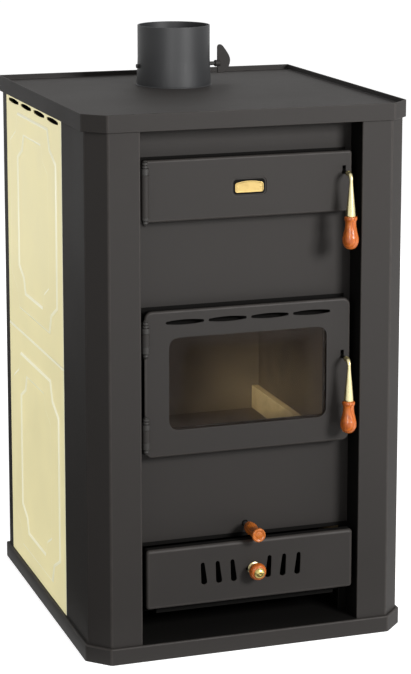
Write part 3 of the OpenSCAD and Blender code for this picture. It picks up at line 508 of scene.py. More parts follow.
@dataclass(frozen=True)
class Fireclay:
    """Pressed fireclay with pores, grog specks and a little soot."""

    name: str
    colour: Colour = (236, 206, 146)
    soot: Colour = (168, 140, 96)

    def material(self) -> Material:
        """Build the material.

        Returns:
            The material.
        """
        mix = Recipe(self.name)
        where = mix.place()
        cloud = mix.noise(where, 30 * MM, 5.0, 0.6)
        pores = mix.cells(where, 3.2 * MM)
        dirt = mix.spread(cloud, 0.45, 0.75, 0.0, 0.6)
        colour = mix.tint(dirt, shade(self.colour), shade(self.soot))
        pit = mix.spread(pores, 0.05, 0.22, 0.4, 0.0)
        rough = mix.relief(mix.noise(where, 2 * MM, 4.0), 0.25 * MM)
        return mix.set(
            Base_Color=mix.tint(pit, colour, shade(self.soot, 0.8)),
            Roughness=mix.spread(cloud, 0.3, 0.7, 0.86, 0.95),
            Normal=mix.relief(mix.spread(pores, 0.0, 0.25), 0.3 * MM, rough),
        )


@dataclass(frozen=True)
class SealRope:
    """Braided glass-fibre rope, grey with soot."""

    name: str
    colour: Colour = (128, 124, 116)
    soot: Colour = (62, 58, 54)
    strands: float = 2200.0

    def material(self) -> Material:
        """Build the material.

        Returns:
            The material.
        """
        mix = Recipe(self.name)
        where = mix.place()
        across, deep, up = mix.axis_parts(where)
        strand = mix.times(mix.sum(mix.sum(across, up), mix.times(deep, 0.6)), self.strands)
        level = mix.sum(across, up, Work.SUBTRACT)
        other = mix.times(mix.sum(level, deep, Work.SUBTRACT), self.strands)
        weave = mix.times(mix.sum(strand, 0.0, Work.SINE), mix.sum(other, 0.0, Work.SINE))
        cloud = mix.noise(where, 14 * MM, 4.0)
        dirt = mix.spread(mix.sum(cloud, mix.times(weave, -0.12)), 0.35, 0.75)
        return mix.set(
            Base_Color=mix.tint(dirt, shade(self.colour), shade(self.soot)),
            Roughness=mix.spread(cloud, 0.3, 0.7, 0.85, 0.98),
            Normal=mix.relief(weave, 0.5 * MM),
        )


@dataclass(frozen=True)
class Zinc:
    """Zinc-plated steel with a faint spangle."""

    name: str
    colour: Colour = (172, 174, 178)
    dull: Colour = (124, 125, 128)

    def material(self) -> Material:
        """Build the material.

        Returns:
            The material.
        """
        mix = Recipe(self.name)
        where = mix.place()
        spangle = mix.spread(mix.cells(where, 7 * MM), 0.1, 0.6)
        cloud = mix.noise(where, 4 * MM)
        return mix.set(
            Base_Color=mix.tint(spangle, shade(self.colour), shade(self.dull)),
            Metallic=1.0,
            Roughness=mix.spread(cloud, 0.3, 0.7, 0.28, 0.46),
            Normal=mix.relief(cloud, 0.02 * MM),
        )


@dataclass(frozen=True)
class CeramicGlass:
    """Clear glass ceramic with a brown smoke film, denser towards the window's rim."""

    name: str
    half_width: float
    low: float
    high: float
    film: Colour = (38, 29, 22)
    clear: float = 0.12
    smoked: float = 0.4

    def material(self) -> Material:
        """Build the material.

        Returns:
            The material.
        """
        mix = Recipe(self.name)
        where = mix.place((0.0, 0.0, (self.low + self.high) / 2))
        across, _, up = mix.axis_parts(where)
        side = mix.sum(mix.times(across, 1 / self.half_width), 0.0, Work.ABSOLUTE)
        end = mix.sum(mix.times(up, 2 / (self.high - self.low)), 0.0, Work.ABSOLUTE)
        cloud = mix.noise(where, 40 * MM, 4.0, 0.6)
        rim = mix.sum(side, end, Work.MAXIMUM)
        reach = mix.sum(rim, mix.spread(cloud, 0.3, 0.7, -0.12, 0.12))
        return mix.set(
            Base_Color=mix.clouds(cloud, shade(self.film), shade(self.film, 1.5)),
            Roughness=0.04,
            IOR=1.5,
            Specular_IOR_Level=0.2,
            Alpha=mix.spread(reach, 0.72, 1.05, self.clear, self.smoked),
        )


@dataclass
class FinishRack:
    """The finishes that several pieces share, each made once."""

    paint: Material
    collar: Material
    hinge: Material
    # Black steel, and the black that stands for shade in gaps, recesses and behind fronts.
    black: Material
    enamel: Material
    boiler: Material
    iron: Material
    fireclay: Material
    rope: Material
    zinc: Material

    @classmethod
    def mixed(cls) -> "FinishRack":
        """Make every shared finish.

        Returns:
            The rack.
        """
        return cls(*(finish.material() for finish in (
            StovePaint("charcoal_stove_paint", (44, 41, 39)),
            StovePaint("collar_paint", (28, 29, 31), 0.8 * MM, (0.48, 0.56), 0.02 * MM, 0.6, 1.2),
            StovePaint("hinge_paint", (44, 42, 40), 0.8 * MM, (0.52, 0.62), 0.02 * MM, 0.45, 1.5),
            # Black steel finish, also used as painted shade.
            StovePaint("black_steel_and_painted_shade", (17, 16, 15), 1.4 * MM, (0.7, 0.82), 0.04 * MM, 0.08),
            VitreousEnamel("cream_enamel", (243, 233, 182), (255, 252, 224)),
            SootyPlate("sooty_boiler_plate", (108, 94, 70), (36, 28, 22), 0.33, 0.58),
            RoughIron("cast_iron", (44, 41, 39), (60, 52, 44), 1.8 * MM, 0.35 * MM),
            Fireclay("fireclay"),
            SealRope("seal_rope"),
            Zinc("zinc_plate"),
        )))

    def for_slot(self, slot: Slot) -> Material:
        """The finish of a CAD node that keeps its own shape.

        Args:
            slot: Slot of the node, always one of the steels.

        Returns:
            The finish.
        """
        return {
            Slot.PAINTED: self.paint,
            Slot.BLACK: self.black,
            Slot.BOILER: self.boiler,
            Slot.IRON: self.iron,
            Slot.ZINC: self.zinc,
        }[slot]


# Shaping


@dataclass(frozen=True)
class Room:
    """Box of a CAD node at rest, in metres."""

    low: Vector
    high: Vector

    @classmethod
    def of(cls, node: str) -> "Room":
        """Read the box of a node."""
        return cls(*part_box(node))

    @property
    def middle(self) -> Vector:
        """Centre of the box."""
        return (self.low + self.high) / 2

    @property
    def size(self) -> Vector:
        """Lengths of the box."""
        return self.high - self.low


def is_upright(edge: BMEdge) -> bool:
    """True for an edge that runs straight up."""
    along = edge.verts[1].co - edge.verts[0].co
    return abs(along.z) > 0.99 * along.length


def middle_of(edge: BMEdge) -> Vector:
    """Middle of an edge."""
    return (edge.verts[0].co + edge.verts[1].co) / 2


def both(edge: BMEdge, test: Callable[[Vector], bool]) -> bool:
    """True if both ends of an edge pass a test."""
    return test(edge.verts[0].co) and test(edge.verts[1].co)


def at_depth(edge: BMEdge, depth: float) -> bool:
    """True if both ends of an edge have the given Y."""
    return both(edge, lambda c: abs(c.y - depth) < NEAR)


def rounded(half: Pair, bend: float, middle_z: float) -> list[Pair]:
    """Outline of a rectangle with round corners, seven points to a corner.

    Args:
        half: Half its width and height.
        bend: Radius of the corners.
        middle_z: Height of its middle.

    Returns:
        Points in X and Z, in order.
    """
    points = []
    for quarter, (sx, sz) in enumerate(((1, -1), (1, 1), (-1, 1), (-1, -1))):
        for i in range(7):
            a = math.radians(-90 + 90 * quarter + 15 * i)
            x = sx * (half[0] - bend) + bend * math.cos(a)
            points.append((x, middle_z + sz * (half[1] - bend) + bend * math.sin(a)))
    return points


class Piece:
    """One piece of the looks, worked as a bmesh in metres at its place in the frame."""

    def __init__(self, name: str, mesh: bpy.types.Mesh | None = None) -> None:
        """Start a piece.

        Args:
            name: Name of the finished object.
            mesh: Mesh that it starts from, or None for an empty piece.
        """
        self.name = name
        self.bm = bmesh.new()
        if mesh is not None:
            self.bm.from_mesh(mesh)
        self.bm.faces.layers.float.new("fold")

    @classmethod
    def from_node(cls, name: str, node: str) -> "Piece":
        """Start from a merged copy of a CAD node, with its flats made whole again.

        Args:
            name: Name of the finished object.
            node: The CAD node.

        Returns:
            The new piece.
        """
        piece = cls(name, frame["nodes"][node].data)
        bmesh.ops.remove_doubles(piece.bm, verts=piece.bm.verts, dist=WELD)
        bmesh.ops.dissolve_limit(
            piece.bm,
            angle_limit=math.radians(1.0),
            use_dissolve_boundaries=False,
            verts=piece.bm.verts,
            edges=piece.bm.edges,
        )
        return piece

    @classmethod
    def plain(cls, name: str, node: str, radius: float, finish: Material) -> None:
        """Dress a copy of a CAD node that only has its edges broken."""
        cls.from_node(name, node).round_edges(radius).dress(finish, node)

    def round_edges(
        self,
        radius: float,
        steps: int = 2,
        pick: Callable[[BMEdge], bool] | None = None,
        least: float = 25.0,
        wear_and_highlight: float = 1.0,
    ) -> "Piece":
        """Round the sharp edges and mark the new faces as folds.

        Args:
            radius: Reach of the rounding in metres.
            steps: Faces across each rounding.
            pick: Test that an edge passes to be rounded, or None for all.
            least: Smallest angle in degrees that counts as sharp.
            wear_and_highlight: Mark of a fold on the new faces, from 0 to 1; the finishes lighten
                marked faces, partly as wear and partly as a painted highlight.

        Returns:
            This piece.
        """
        limit = math.radians(least)
        sharp = [e for e in self.bm.edges if e.is_manifold and e.calc_face_angle(0.0) > limit]
        made = bmesh.ops.bevel(
            self.bm,
            geom=[e for e in sharp if pick is None or pick(e)],
            offset=radius,
            offset_type="OFFSET",
            segments=steps,
            profile=0.5,
            affect="EDGES",
            clamp_overlap=False,
            material=-1,
        )
        mark = self.bm.faces.layers.float["fold"]
        for face in made["faces"]:
            face[mark] = wear_and_highlight
        return self

    def bisect(self, point: Sequence[float], facing: Sequence[float], **choices: object) -> None:
        """Cut every flat along a plane, with the operator's other choices."""
        flats = self.bm.verts[:] + self.bm.edges[:] + self.bm.faces[:]
        bmesh.ops.bisect_plane(self.bm, geom=flats, plane_co=point, plane_no=facing, **choices)

    def cut_across(self, *cuts: tuple[Axis, float]) -> "Piece":
        """Score the flats along planes, so that no flat goes round a hole in one face.

        Args:
            cuts: Direction that each plane faces, and its distance from the origin.

        Returns:
            This piece.
        """
        for axis, distance in cuts:
            self.bisect(Vector(axis.value) * distance, axis.value, dist=WELD)
        return self

    def trim(self, x: float) -> "Piece":
        """Cut off what lies to the left of a plane and close the cut.

        Args:
            x: Place of the plane.

        Returns:
            This piece.
        """
        self.bisect((x, 0.0, 0.0), (-1.0, 0.0, 0.0), clear_outer=True)
        bmesh.ops.holes_fill(self.bm, edges=self.bm.edges, sides=0)
        bmesh.ops.recalc_face_normals(self.bm, faces=self.bm.faces)
        return self

    def take_in(self, part: "Piece", matrix: Matrix | None = None) -> "Piece":
        """Add another piece to this one and free it.

        Args:
            part: The piece to add.
            matrix: Where it goes, or None to leave it.

        Returns:
            This piece.
        """
        if matrix is not None:
            bmesh.ops.transform(part.bm, matrix=matrix, verts=part.bm.verts)
        carrier = bpy.data.meshes.new("carrier")
        part.bm.to_mesh(carrier)
        part.bm.free()
        self.bm.from_mesh(carrier)
        bpy.data.meshes.remove(carrier)
        return self

    def turn(
        self,
        profile: Sequence[Pair],
        foot: Sequence[float],
        axis: Axis,
        steps: int,
        closed: bool = False,
    ) -> "Piece":
        """Turn a profile on a lathe.

        Args:
            profile: Radius and height of each point, in metres.
            foot: Point of the axis at height 0.
            axis: Direction of the axis.
            steps: Faces round the axis.
            closed: True for a ring, whose profile closes on itself.

        Returns:
            This piece.
        """
        part = Piece(self.name)
        verts = [part.bm.verts.new((r, 0.0, h)) for r, h in profile]
        ends = verts[1:] + verts[:1] if closed else verts[1:]
        edges = [part.bm.edges.new(pair) for pair in zip(verts, ends)]
        bmesh.ops.spin(
            part.bm,
            geom=verts + edges,
            cent=(0.0, 0.0, 0.0),
            axis=UP,
            dvec=(0.0, 0.0, 0.0),
            angle=math.tau,
            steps=steps,
            use_merge=True,
        )
        bmesh.ops.remove_doubles(part.bm, verts=part.bm.verts, dist=WELD)
        bmesh.ops.recalc_face_normals(part.bm, faces=part.bm.faces)
        turned = axis.turn().to_matrix().to_4x4()
        return self.take_in(part, Matrix.Translation(Vector(foot)) @ turned)

    def block(
        self, low: Sequence[float], high: Sequence[float], radius: float = 0.6 * MM, steps: int = 2
    ) -> "Piece":
        """Add a block with rounded edges.

        Args:
            low: Its lowest corner.
            high: Its highest corner.
            radius: Reach of the rounding in metres.
            steps: Faces across each rounding.

        Returns:
            This piece.
        """
        part = Piece(self.name)
        low, high = Vector(low), Vector(high)
        bmesh.ops.create_cube(part.bm, size=1.0)
        bmesh.ops.scale(part.bm, vec=high - low, verts=part.bm.verts)
        bmesh.ops.translate(part.bm, vec=(low + high) / 2, verts=part.bm.verts)
        return self.take_in(part.round_edges(radius, steps))

    def sweep(
        self, path: Sequence[Vector], radii: Sequence[float], sides: int, closed: bool = False
    ) -> "Piece":
        """Carry a circle along a path.

        Args:
            path: Centre points, in metres.
            radii: Radius at each point.
            sides: Faces round the section.
            closed: True if the path closes on itself.

        Returns:
            This piece.
        """
        part = Piece(self.name)
        count = len(path)
        turn, last = None, None
        made = bmesh.ops.create_circle(part.bm, cap_ends=False, segments=sides, radius=1.0)
        ring = made["verts"]
        first_edges = edges = list({e for v in ring for e in v.link_edges})
        for i, (point, radius) in enumerate(zip(path, radii)):
            before = path[i - 1] if i or closed else point
            after = path[(i + 1) % count] if i < count - 1 or closed else point
            ahead = (after - before).normalized()
            if turn is None:
                turn = UP.rotation_difference(ahead)
            else:
                turn = (turn @ UP).rotation_difference(ahead) @ turn
            here = Matrix.LocRotScale(point, turn, Vector((radius, radius, radius)))
            if last is None:
                bmesh.ops.transform(part.bm, matrix=here, verts=ring)
            else:
                grown = bmesh.ops.extrude_edge_only(part.bm, edges=edges)["geom"]
                ring = [g for g in grown if isinstance(g, BMVert)]
                lines = [g for g in grown if isinstance(g, BMEdge)]
                edges = [e for e in lines if all(v in ring for v in e.verts)]
                bmesh.ops.transform(part.bm, matrix=here @ last.inverted(), verts=ring)
            last = here
        if closed:
            bmesh.ops.bridge_loops(part.bm, edges=first_edges + edges)
        else:
            bmesh.ops.holes_fill(part.bm, edges=part.bm.edges, sides=sides)
        bmesh.ops.recalc_face_normals(part.bm, faces=part.bm.faces)
        return self.take_in(part)

    def plate(self, outline: Sequence[Pair], front: float, back: float) -> "Piece":
        """Add a flat plate from an outline in X and Z, between two depths.

        Args:
            outline: Corners in order.
            front: Lower Y.
            back: Higher Y.

        Returns:
            This piece.
        """
        part = Piece(self.name)
        face = part.bm.faces.new([part.bm.verts.new((x, front, z)) for x, z in outline])
        grown = bmesh.ops.extrude_face_region(part.bm, geom=[face])["geom"]
        moved = [g for g in grown if isinstance(g, BMVert)]
        bmesh.ops.translate(part.bm, vec=(0.0, back - front, 0.0), verts=moved)
        bmesh.ops.recalc_face_normals(part.bm, faces=part.bm.faces)
        return self.take_in(part)

    def second_coat(self, pick: Callable[[BMFace], bool]) -> "Piece":
        """Mark the faces that take the second finish.

        Args:
            pick: Test that such a face passes.

        Returns:
            This piece.
        """
        for face in self.bm.faces:
            face.material_index = int(pick(face))
        return self

    def dress(
        self,
        finish: Material,
        node: str,
        second: Material | None = None,
        crease: float = 40.0,
        extra: Slot | None = None,
    ) -> None:
        """Make the piece an object that rides on a CAD node's body and stands for the node.

        Args:
            finish: Material of the whole piece.
            node: The CAD node.
            second: Material of the faces that second_coat marked, or None.
            crease: Angle in degrees above which an edge stays hard.
            extra: Slot of a piece that only goes with the node, or None; the slot itself is not
                used, only that such a piece leaves the node shown.
        """
        limit = math.radians(crease)
        for face in self.bm.faces:
            face.smooth = True
        for edge in self.bm.edges:
            edge.smooth = not edge.is_manifold or edge.calc_face_angle(0.0) < limit
        mesh = bpy.data.meshes.new(self.name)
        self.bm.to_mesh(mesh)
        self.bm.free()
        for coat in (finish, second):
            if coat is not None:
                mesh.materials.append(coat)
        thing = bpy.data.objects.new(self.name, mesh)
        bpy.context.scene.collection.objects.link(thing)
        flats = thing.modifiers.new("flats", "WEIGHTED_NORMAL")
        flats.keep_sharp = True
        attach(thing, BODY_OF[node])
        if extra is None:
            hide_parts(node)
        LOG.info("%s: %d faces on %s", self.name, len(mesh.polygons), BODY_OF[node])


# Sub-assemblies


@dataclass
class Casing:
    """Folded sheets of the base, the columns, the posts, the back and the top."""

    bend: float = 3.0 * MM
    post_bend: float = 2.4 * MM
    edge: float = 0.6 * MM
    post_edge: float = 0.4 * MM
    plate_edge: float = 0.8 * MM
    rim_edge: float = 1.0 * MM
    wide: float = 0.008
    # Height of the band of painted shade above each door.
    shade_band: float = 1.5 * MM
    screw_in: float = 4.5 * MM
    score: float = 100 * MM

    def build(self, rack: FinishRack) -> None:
        """Build and dress every sheet.

        Args:
            rack: Shared finishes.
        """
        # The black second finishes on the plinth, the columns and the front plate are painted
        # shade.
        self.plinth().dress(rack.paint, "base_plinth", rack.black)
        for node in ("column_left", "column_right"):
            self.column(node).dress(rack.paint, node, rack.black)
        for node in ("rear_post_left", "rear_post_right"):
            self.upright(node, self.post_bend, self.post_edge).dress(rack.paint, node)
        self.top().dress(rack.paint, "top_cover")
        Piece.plain("rear_sheet", "rear_panel", self.edge, rack.paint)
        self.front_plate().dress(rack.paint, "front_plate", rack.black)
        self.screws().dress(rack.zinc, "casing_screws")

    def plinth(self) -> Piece:
        """Base with rounded corners, a rounded upper fold and the recess floor coloured black as
        painted shade.

        Returns:
            The worked piece.
        """
        top = Room.of("base_plinth").high.z - 2 * NEAR
        front = Room.of("column_right").low.y - 2 * MM
        side = abs(Room.of("column_left").high.x)
        piece = Piece.from_node("plinth_sheet", "base_plinth")
        piece.cut_across((Axis.X, 0.0), (Axis.Y, self.score), (Axis.X, -side), (Axis.X, side))
        piece.cut_across((Axis.Y, front))
        piece.round_edges(
            self.bend, 4, lambda e: e.is_convex and (is_upright(e) or both(e, lambda c: c.z > top))
        )
        piece.round_edges(self.edge, least=40.0)

        def shaded_recess(face: BMFace) -> bool:
            """True on the floor between and behind the columns, which takes the painted shade."""
            mid = face.calc_center_median()
            return face.normal.z > 0.9 and abs(mid.x) < side and mid.y > front

        return piece.second_coat(shaded_recess)

    def front_plate(self) -> Piece:
        """Plate between the columns, coloured black as painted shade behind the doors, in a band
        above each door, and below the drawer's top.

        Returns:
            The worked piece.
        """
        doors = [Room.of(door) for door in ("upper_door_shell", "fire_door_shell")]
        # Below the drawer's top the plate is coloured black as painted shade.
        dark = Room.of("ash_drawer_front").high.z
        piece = Piece.from_node("front_plate_sheet", "front_plate").cut_across((Axis.Z, dark))
        for door in doors:
            piece.cut_across((Axis.Z, door.low.z), (Axis.Z, door.high.z + self.shade_band))
            piece.cut_across((Axis.X, door.high.x), (Axis.X, -door.high.x))
        piece.round_edges(self.plate_edge)

        def in_painted_shade(face: BMFace, door: Room) -> bool:
            """True where a door hides a face, or in the band above it; such a face takes the
            painted shade.
            """
            mid = face.calc_center_median()
            return abs(mid.x) < door.high.x and door.low.z < mid.z < door.high.z + self.shade_band

        # Black second finish: painted shade behind and above the doors and below the drawer.
        return piece.second_coat(
            lambda f: f.calc_center_median().z < dark or any(in_painted_shade(f, door) for door in doors)
        )

    def upright(self, node: str, bend: float, edge: float) -> Piece:
        """Column or post with its long bends rounded.

        Args:
            node: The CAD node.
            bend: Radius of the bends.
            edge: Reach of the rounding on the other edges.

        Returns:
            The worked piece.
        """

        def is_bend(e: BMEdge) -> bool:
            """True on an upright edge between two wide flats."""
            wide = min(f.calc_area() for f in e.link_faces) > self.wide
            return is_upright(e) and e.is_convex and wide

        piece = Piece.from_node(node + "_sheet", node).round_edges(bend, 4, is_bend)
        return piece.round_edges(edge, least=50.0)

    def column(self, node: str) -> Piece:
        """Front column, its side that faces the doors coloured black as painted shade.

        Args:
            node: The CAD node.

        Returns:
            The worked piece.
        """
        inner = abs(Room.of("column_left").high.x) + 1 * MM
        # Inner side faces take the black second finish: painted shade between column and doors.
        return self.upright(node, self.bend, self.edge).second_coat(
            lambda f: abs(f.normal.x) > 0.9 and abs(f.calc_center_median().x) < inner
        )

    def top(self) -> Piece:
        """Top cover with a raised rim and rounded corners.

        Returns:
            The worked piece.
        """
        piece = Piece.from_node("top_sheet", "top_cover")
        piece.cut_across((Axis.X, 0.0), (Axis.Y, Room.of("flue_collar").middle.y))
        piece.round_edges(self.bend, 4, lambda e: is_upright(e) and e.is_convex)
        return piece.round_edges(self.rim_edge, 3, least=40.0)

    def screws(self) -> Piece:
        """Hexagon-head sheet screws with washers, in the places of the CAD screws.

        Returns:
            The worked piece.
        """
        room = Room.of("casing_screws")
        piece = Piece("rear_screws")
        first, last = room.low.z + self.screw_in, room.high.z - self.screw_in
        washer = in_mm((0.0, 0.0), (4.4, 0.0), (4.4, 0.5), (4.0, 0.8), (0.0, 0.8))
        head = in_mm((0.0, 0.0), (3.6, 0.0), (3.6, 1.2), (3.1, 1.7), (0.0, 1.6))
        shank = in_mm((0.0, 0.0), (2.2, 0.0), (2.2, 4.5), (0.0, 4.5))
        for side in (-1, 1):
            for row in range(4):
                x, z = side * (room.high.x - self.screw_in), first + row * (last - first) / 3
                for profile, under, steps in ((washer, 2.5, 24), (head, 1.7, 6), (shank, 7.0, 12)):
                    piece.turn(profile, (x, room.high.y - under * MM, z), Axis.Y, steps)
        return piece


@dataclass
class SidePanels:
    """Enamelled side panels with a pressed band each."""

    face: float
    vents_z: float = 997.5 * MM
    press: float = 1.25 * MM
    corner: float = 1.2 * MM
    seam: float = 2.4 * MM
    end: float = 3 * MM
    raised: float = 2 * MM
    slope_highlight: float = 0.85

    def build(self, rack: FinishRack) -> None:
        """Build and dress the four panels."""
        for node in ("left_lower", "left_upper", "right_lower", "right_upper"):
            self.panel("panel_" + node).dress(rack.enamel, "panel_" + node)

    def panel(self, node: str) -> Piece:
        """One panel, its band softened as pressed steel is.

        Args:
            node: The CAD node.

        Returns:
            The worked piece.
        """
        piece = Piece.from_node(node + "_enamel", node)
        room = Room.of(node)
        lower, highlight_strip_z = "lower" in node, room.high.z - 2 * self.seam
        top, out = room.high.z - 2 * NEAR, self.face - 2 * NEAR
        piece.cut_across((Axis.Y, room.middle.y), (Axis.Z, room.middle.z))
        if not lower:
            piece.cut_across((Axis.Z, self.vents_z))

        def outside(edge: BMEdge) -> bool:
            """True on the upright ends of the face."""
            at_end = both(edge, lambda c: min(c.y - room.low.y, room.high.y - c.y) < self.end)
            return at_end and is_upright(edge) and both(edge, lambda c: abs(c.x) > out)

        def on_band(edge: BMEdge) -> bool:
            """True on the raised band."""
            return both(edge, lambda c: abs(c.x) > self.face + self.raised)

        def at_foot(edge: BMEdge) -> bool:
            """True where the band's slopes rise from the face."""
            return both(edge, lambda c: abs(abs(c.x) - self.face) < 2 * NEAR) and not edge.is_convex

        def at_seam(edge: BMEdge) -> bool:
            """True on the upper edge of the face."""
            return both(edge, lambda c: c.z > top and abs(c.x) > out)

        piece.round_edges(self.press, 3, on_band, 15.0)
        piece.round_edges(self.press, 3, at_foot, 15.0, 0.0)
        if lower:
            piece.cut_across((Axis.Z, highlight_strip_z))
        piece.round_edges(self.corner, 3, outside)
        # The raised band's slopes get the fold mark, which paints a highlight along them.
        mark = piece.bm.faces.layers.float["fold"]
        for face in piece.bm.faces:
            raised = abs(face.calc_center_median().x) > self.face + 2 * NEAR
            if 0.6 < abs(face.normal.x) < 0.95 and raised:
                face[mark] = max(face[mark], self.slope_highlight)
        if lower:
            piece.round_edges(self.seam, 4, at_seam)
            # A strip along the lower panel's top edge gets the full fold mark: a painted highlight
            # along the seam.
            for face in piece.bm.faces:
                face[mark] = 1.0 if face.calc_center_median().z > highlight_strip_z else face[mark]
        return piece


@dataclass
class Flue:
    """Collar with its damper."""

    bead: float = 1.6 * MM
    bead_ring: float = 75.6 * MM
    mouth: float = 0.9 * MM
    mouth_h: float = 1 * MM
    top_rim: float = 10 * MM
    lift: float = 0.4 * MM
    stub: float = 1.2 * MM
    fin: float = 2.5 * MM
    hub_l: float = 6 * MM

    def build(self, rack: FinishRack) -> None:
        """Build and dress the collar, the shaft, the disc and the handle.

        Args:
            rack: Shared finishes.
        """
        self.collar().dress(rack.collar, "flue_collar")
        shaft = Piece.from_node("damper_axle", "damper_shaft")
        shaft.trim(Room.of("flue_collar").low.x - self.stub).dress(rack.hinge, "damper_shaft")
        Piece.plain("damper_plate", "damper_disc", 0.5 * MM, rack.black)
        self.handle().dress(rack.paint, "damper_handle")

    def collar(self) -> Piece:
        """Collar with a rounded mouth and a weld bead at its foot.

        Returns:
            The worked piece.
        """
        room = Room.of("flue_collar")
        piece = Piece.from_node("flue_tube", "flue_collar")
        mouth = room.high.z - self.mouth_h
        piece.round_edges(self.mouth, 3, lambda e: both(e, lambda c: c.z > mouth))
        foot = Room.of("top_cover").high.z - self.top_rim
        ring = [
            (self.bead_ring + self.bead * math.cos(a), self.bead * math.sin(a))
            for a in (i * math.tau / 12 for i in range(12))
        ]
        return piece.turn(ring, (0.0, room.middle.y, foot + self.lift), Axis.Z, 96, True)

    def handle(self) -> Piece:
        """Fin-shaped handle with rounded edges on a turned hub.

        Returns:
            The worked piece.
        """
        room = Room.of("damper_handle")
        y, z = room.middle.y, Room.of("damper_shaft").middle.z
        left = room.low.x + self.hub_l
        fin = in_mm(
            (0.4, -20), (12.5, -20), (19.5, -16.5), (24.2, -9), (27.2, 0), (27.8, 5), (27.2, 10.5),
            (24.8, 16.5), (20.6, 23.6), (16.4, 29.4), (12.6, 34.6), (9.6, 37.4), (6.4, 38.6),
            (3.2, 38.2), (0.9, 36.2), (0.0, 33.0), (0.0, 6.0), (0.0, -8.0),
        )
        piece = Piece("damper_fin")
        piece.plate([(left + out, z + up) for out, up in fin], y - self.fin, y + self.fin)
        piece.round_edges(1.2 * MM, 3, least=60.0)
        hub = in_mm((0.0, 0.0), (5.6, 0.0), (6.8, 1.2), (6.8, 10.8), (5.6, 12), (0.0, 12))
        return piece.turn(hub, (left - self.hub_l, y, z), Axis.X, 32)


@dataclass
class Boiler:
    """Castings, sockets and kerb behind the casing."""

    slabs: int = 2
    joint: float = 0.5 * MM
    pitch: float = 2.3 * MM
    threads: int = 9
    mouth: float = 4 * MM
    bores: Pair = (19.5 * MM, 9.5 * MM)
    large: float = 20 * MM
    thread: float = 0.9 * MM
    countersink: float = 1.6 * MM
    chamfer: float = 1.2 * MM
    slab_edge: float = 1.6 * MM

    def build(self, rack: FinishRack) -> None:
        """Build and dress what shows through the doors and from behind.

        Args:
            rack: Shared finishes.
        """
        Piece.plain("hearth_plate_casting", "hearth_plate", 1.5 * MM, rack.boiler)
        Piece.plain("shaker_grate_casting", "shaker_grate", 1.5 * MM, rack.iron)
        Piece.plain("smoke_baffle_casting", "smoke_baffle", 1.0 * MM, rack.iron)
        for node in ("supply_socket", "return_socket", "drain_socket", "sensor_socket"):
            self.socket(node).dress(rack.zinc, node)
        self.kerb().dress(rack.fireclay, "kerb_bricks")

    def socket(self, node: str) -> Piece:
        """Welded pipe socket with a chamfered, threaded mouth.

        Args:
            node: The CAD node.

        Returns:
            The worked piece.
        """
        room = Room.of(node)
        outer, length = room.size.x / 2, room.size.y
        bore = self.bores[0] if outer > self.large else self.bores[1]
        start = length - self.mouth
        inner = [(bore, 0.0)]
        for i in range(self.threads, 0, -1):
            h = start - i * self.pitch
            inner += [(bore, h), (bore + self.thread, h + self.pitch / 2)]
        inner += [(bore, start), (bore + self.countersink, length)]
        shell = [(outer - self.chamfer, length), (outer, length - self.chamfer), (outer, 0.0)]
        centre = (room.middle.x, room.low.y, room.middle.z)
        return Piece(node + "_turned").turn(inner + shell, centre, Axis.Y, 64, True)

    def kerb(self) -> Piece:
        """Fireclay slabs laid end to end along both sides, with open joints.

        Returns:
            The worked piece.
        """
        room = Room.of("kerb_bricks")
        inner = min(abs(v.co.x) for v in frame["nodes"]["kerb_bricks"].data.vertices)
        piece = Piece("kerb_slabs")
        for hand in (-1, 1):
            left, right = sorted((hand * inner, hand * room.high.x))
            for i in range(self.slabs):
                front = room.low.y + i * room.size.y / self.slabs + self.joint
                back = room.low.y + (i + 1) * room.size.y / self.slabs - self.joint
                low, high = (left, front, room.low.z), (right, back, room.high.z)
                piece.block(low, high, self.slab_edge, 3)
        return piece


@dataclass
class FoldedFront:
    """Front folded from sheet, with round corners and its returns coloured black as painted shade.
    """

    bend: float
    steps: int
    reach: float
    edge: float = 0.6 * MM
    spare: float = 1.5 * MM

    def fold(self, name: str, node: str, face: float) -> Piece:
        """Round the four corners and the fold round the face.

        Args:
            name: Name of the finished object.
            node: The CAD node.
            face: Y of the front face.

        Returns:
            The piece with its folds.
        """
        room = Room.of(node)

        def from_rim(point: Vector) -> Pair:
            """Distances from the nearest side and from the nearest end."""
            return room.high.x - abs(point.x), min(point.z - room.low.z, room.high.z - point.z)

        def on_rim(edge: BMEdge) -> bool:
            """True on the outer edges of the face."""
            near = min(from_rim(middle_of(edge))) < self.reach
            return edge.is_convex and near and at_depth(edge, face)

        def at_corner(edge: BMEdge) -> bool:
            """True on the four edges that run back from the corners of the face."""
            return edge.is_convex and both(edge, lambda c: max(from_rim(c)) < NEAR)

        piece = Piece.from_node(name, node).round_edges(self.bend + self.spare, 5, at_corner)
        return piece.round_edges(self.bend, self.steps, on_rim)

    def coat(self, piece: Piece, face: float) -> Piece:
        """Mark the returns behind the fold for the black finish, a painted shade of the gap behind
        the front.

        Args:
            piece: The front.
            face: Y of the front face.

        Returns:
            The front.
        """
        start = face + 0.9 * self.bend

        def in_painted_shade(side: BMFace) -> bool:
            """True on a return, which takes the painted shade."""
            return abs(side.normal.y) < 0.5 and side.calc_center_median().y > start

        return piece.second_coat(in_painted_shade)


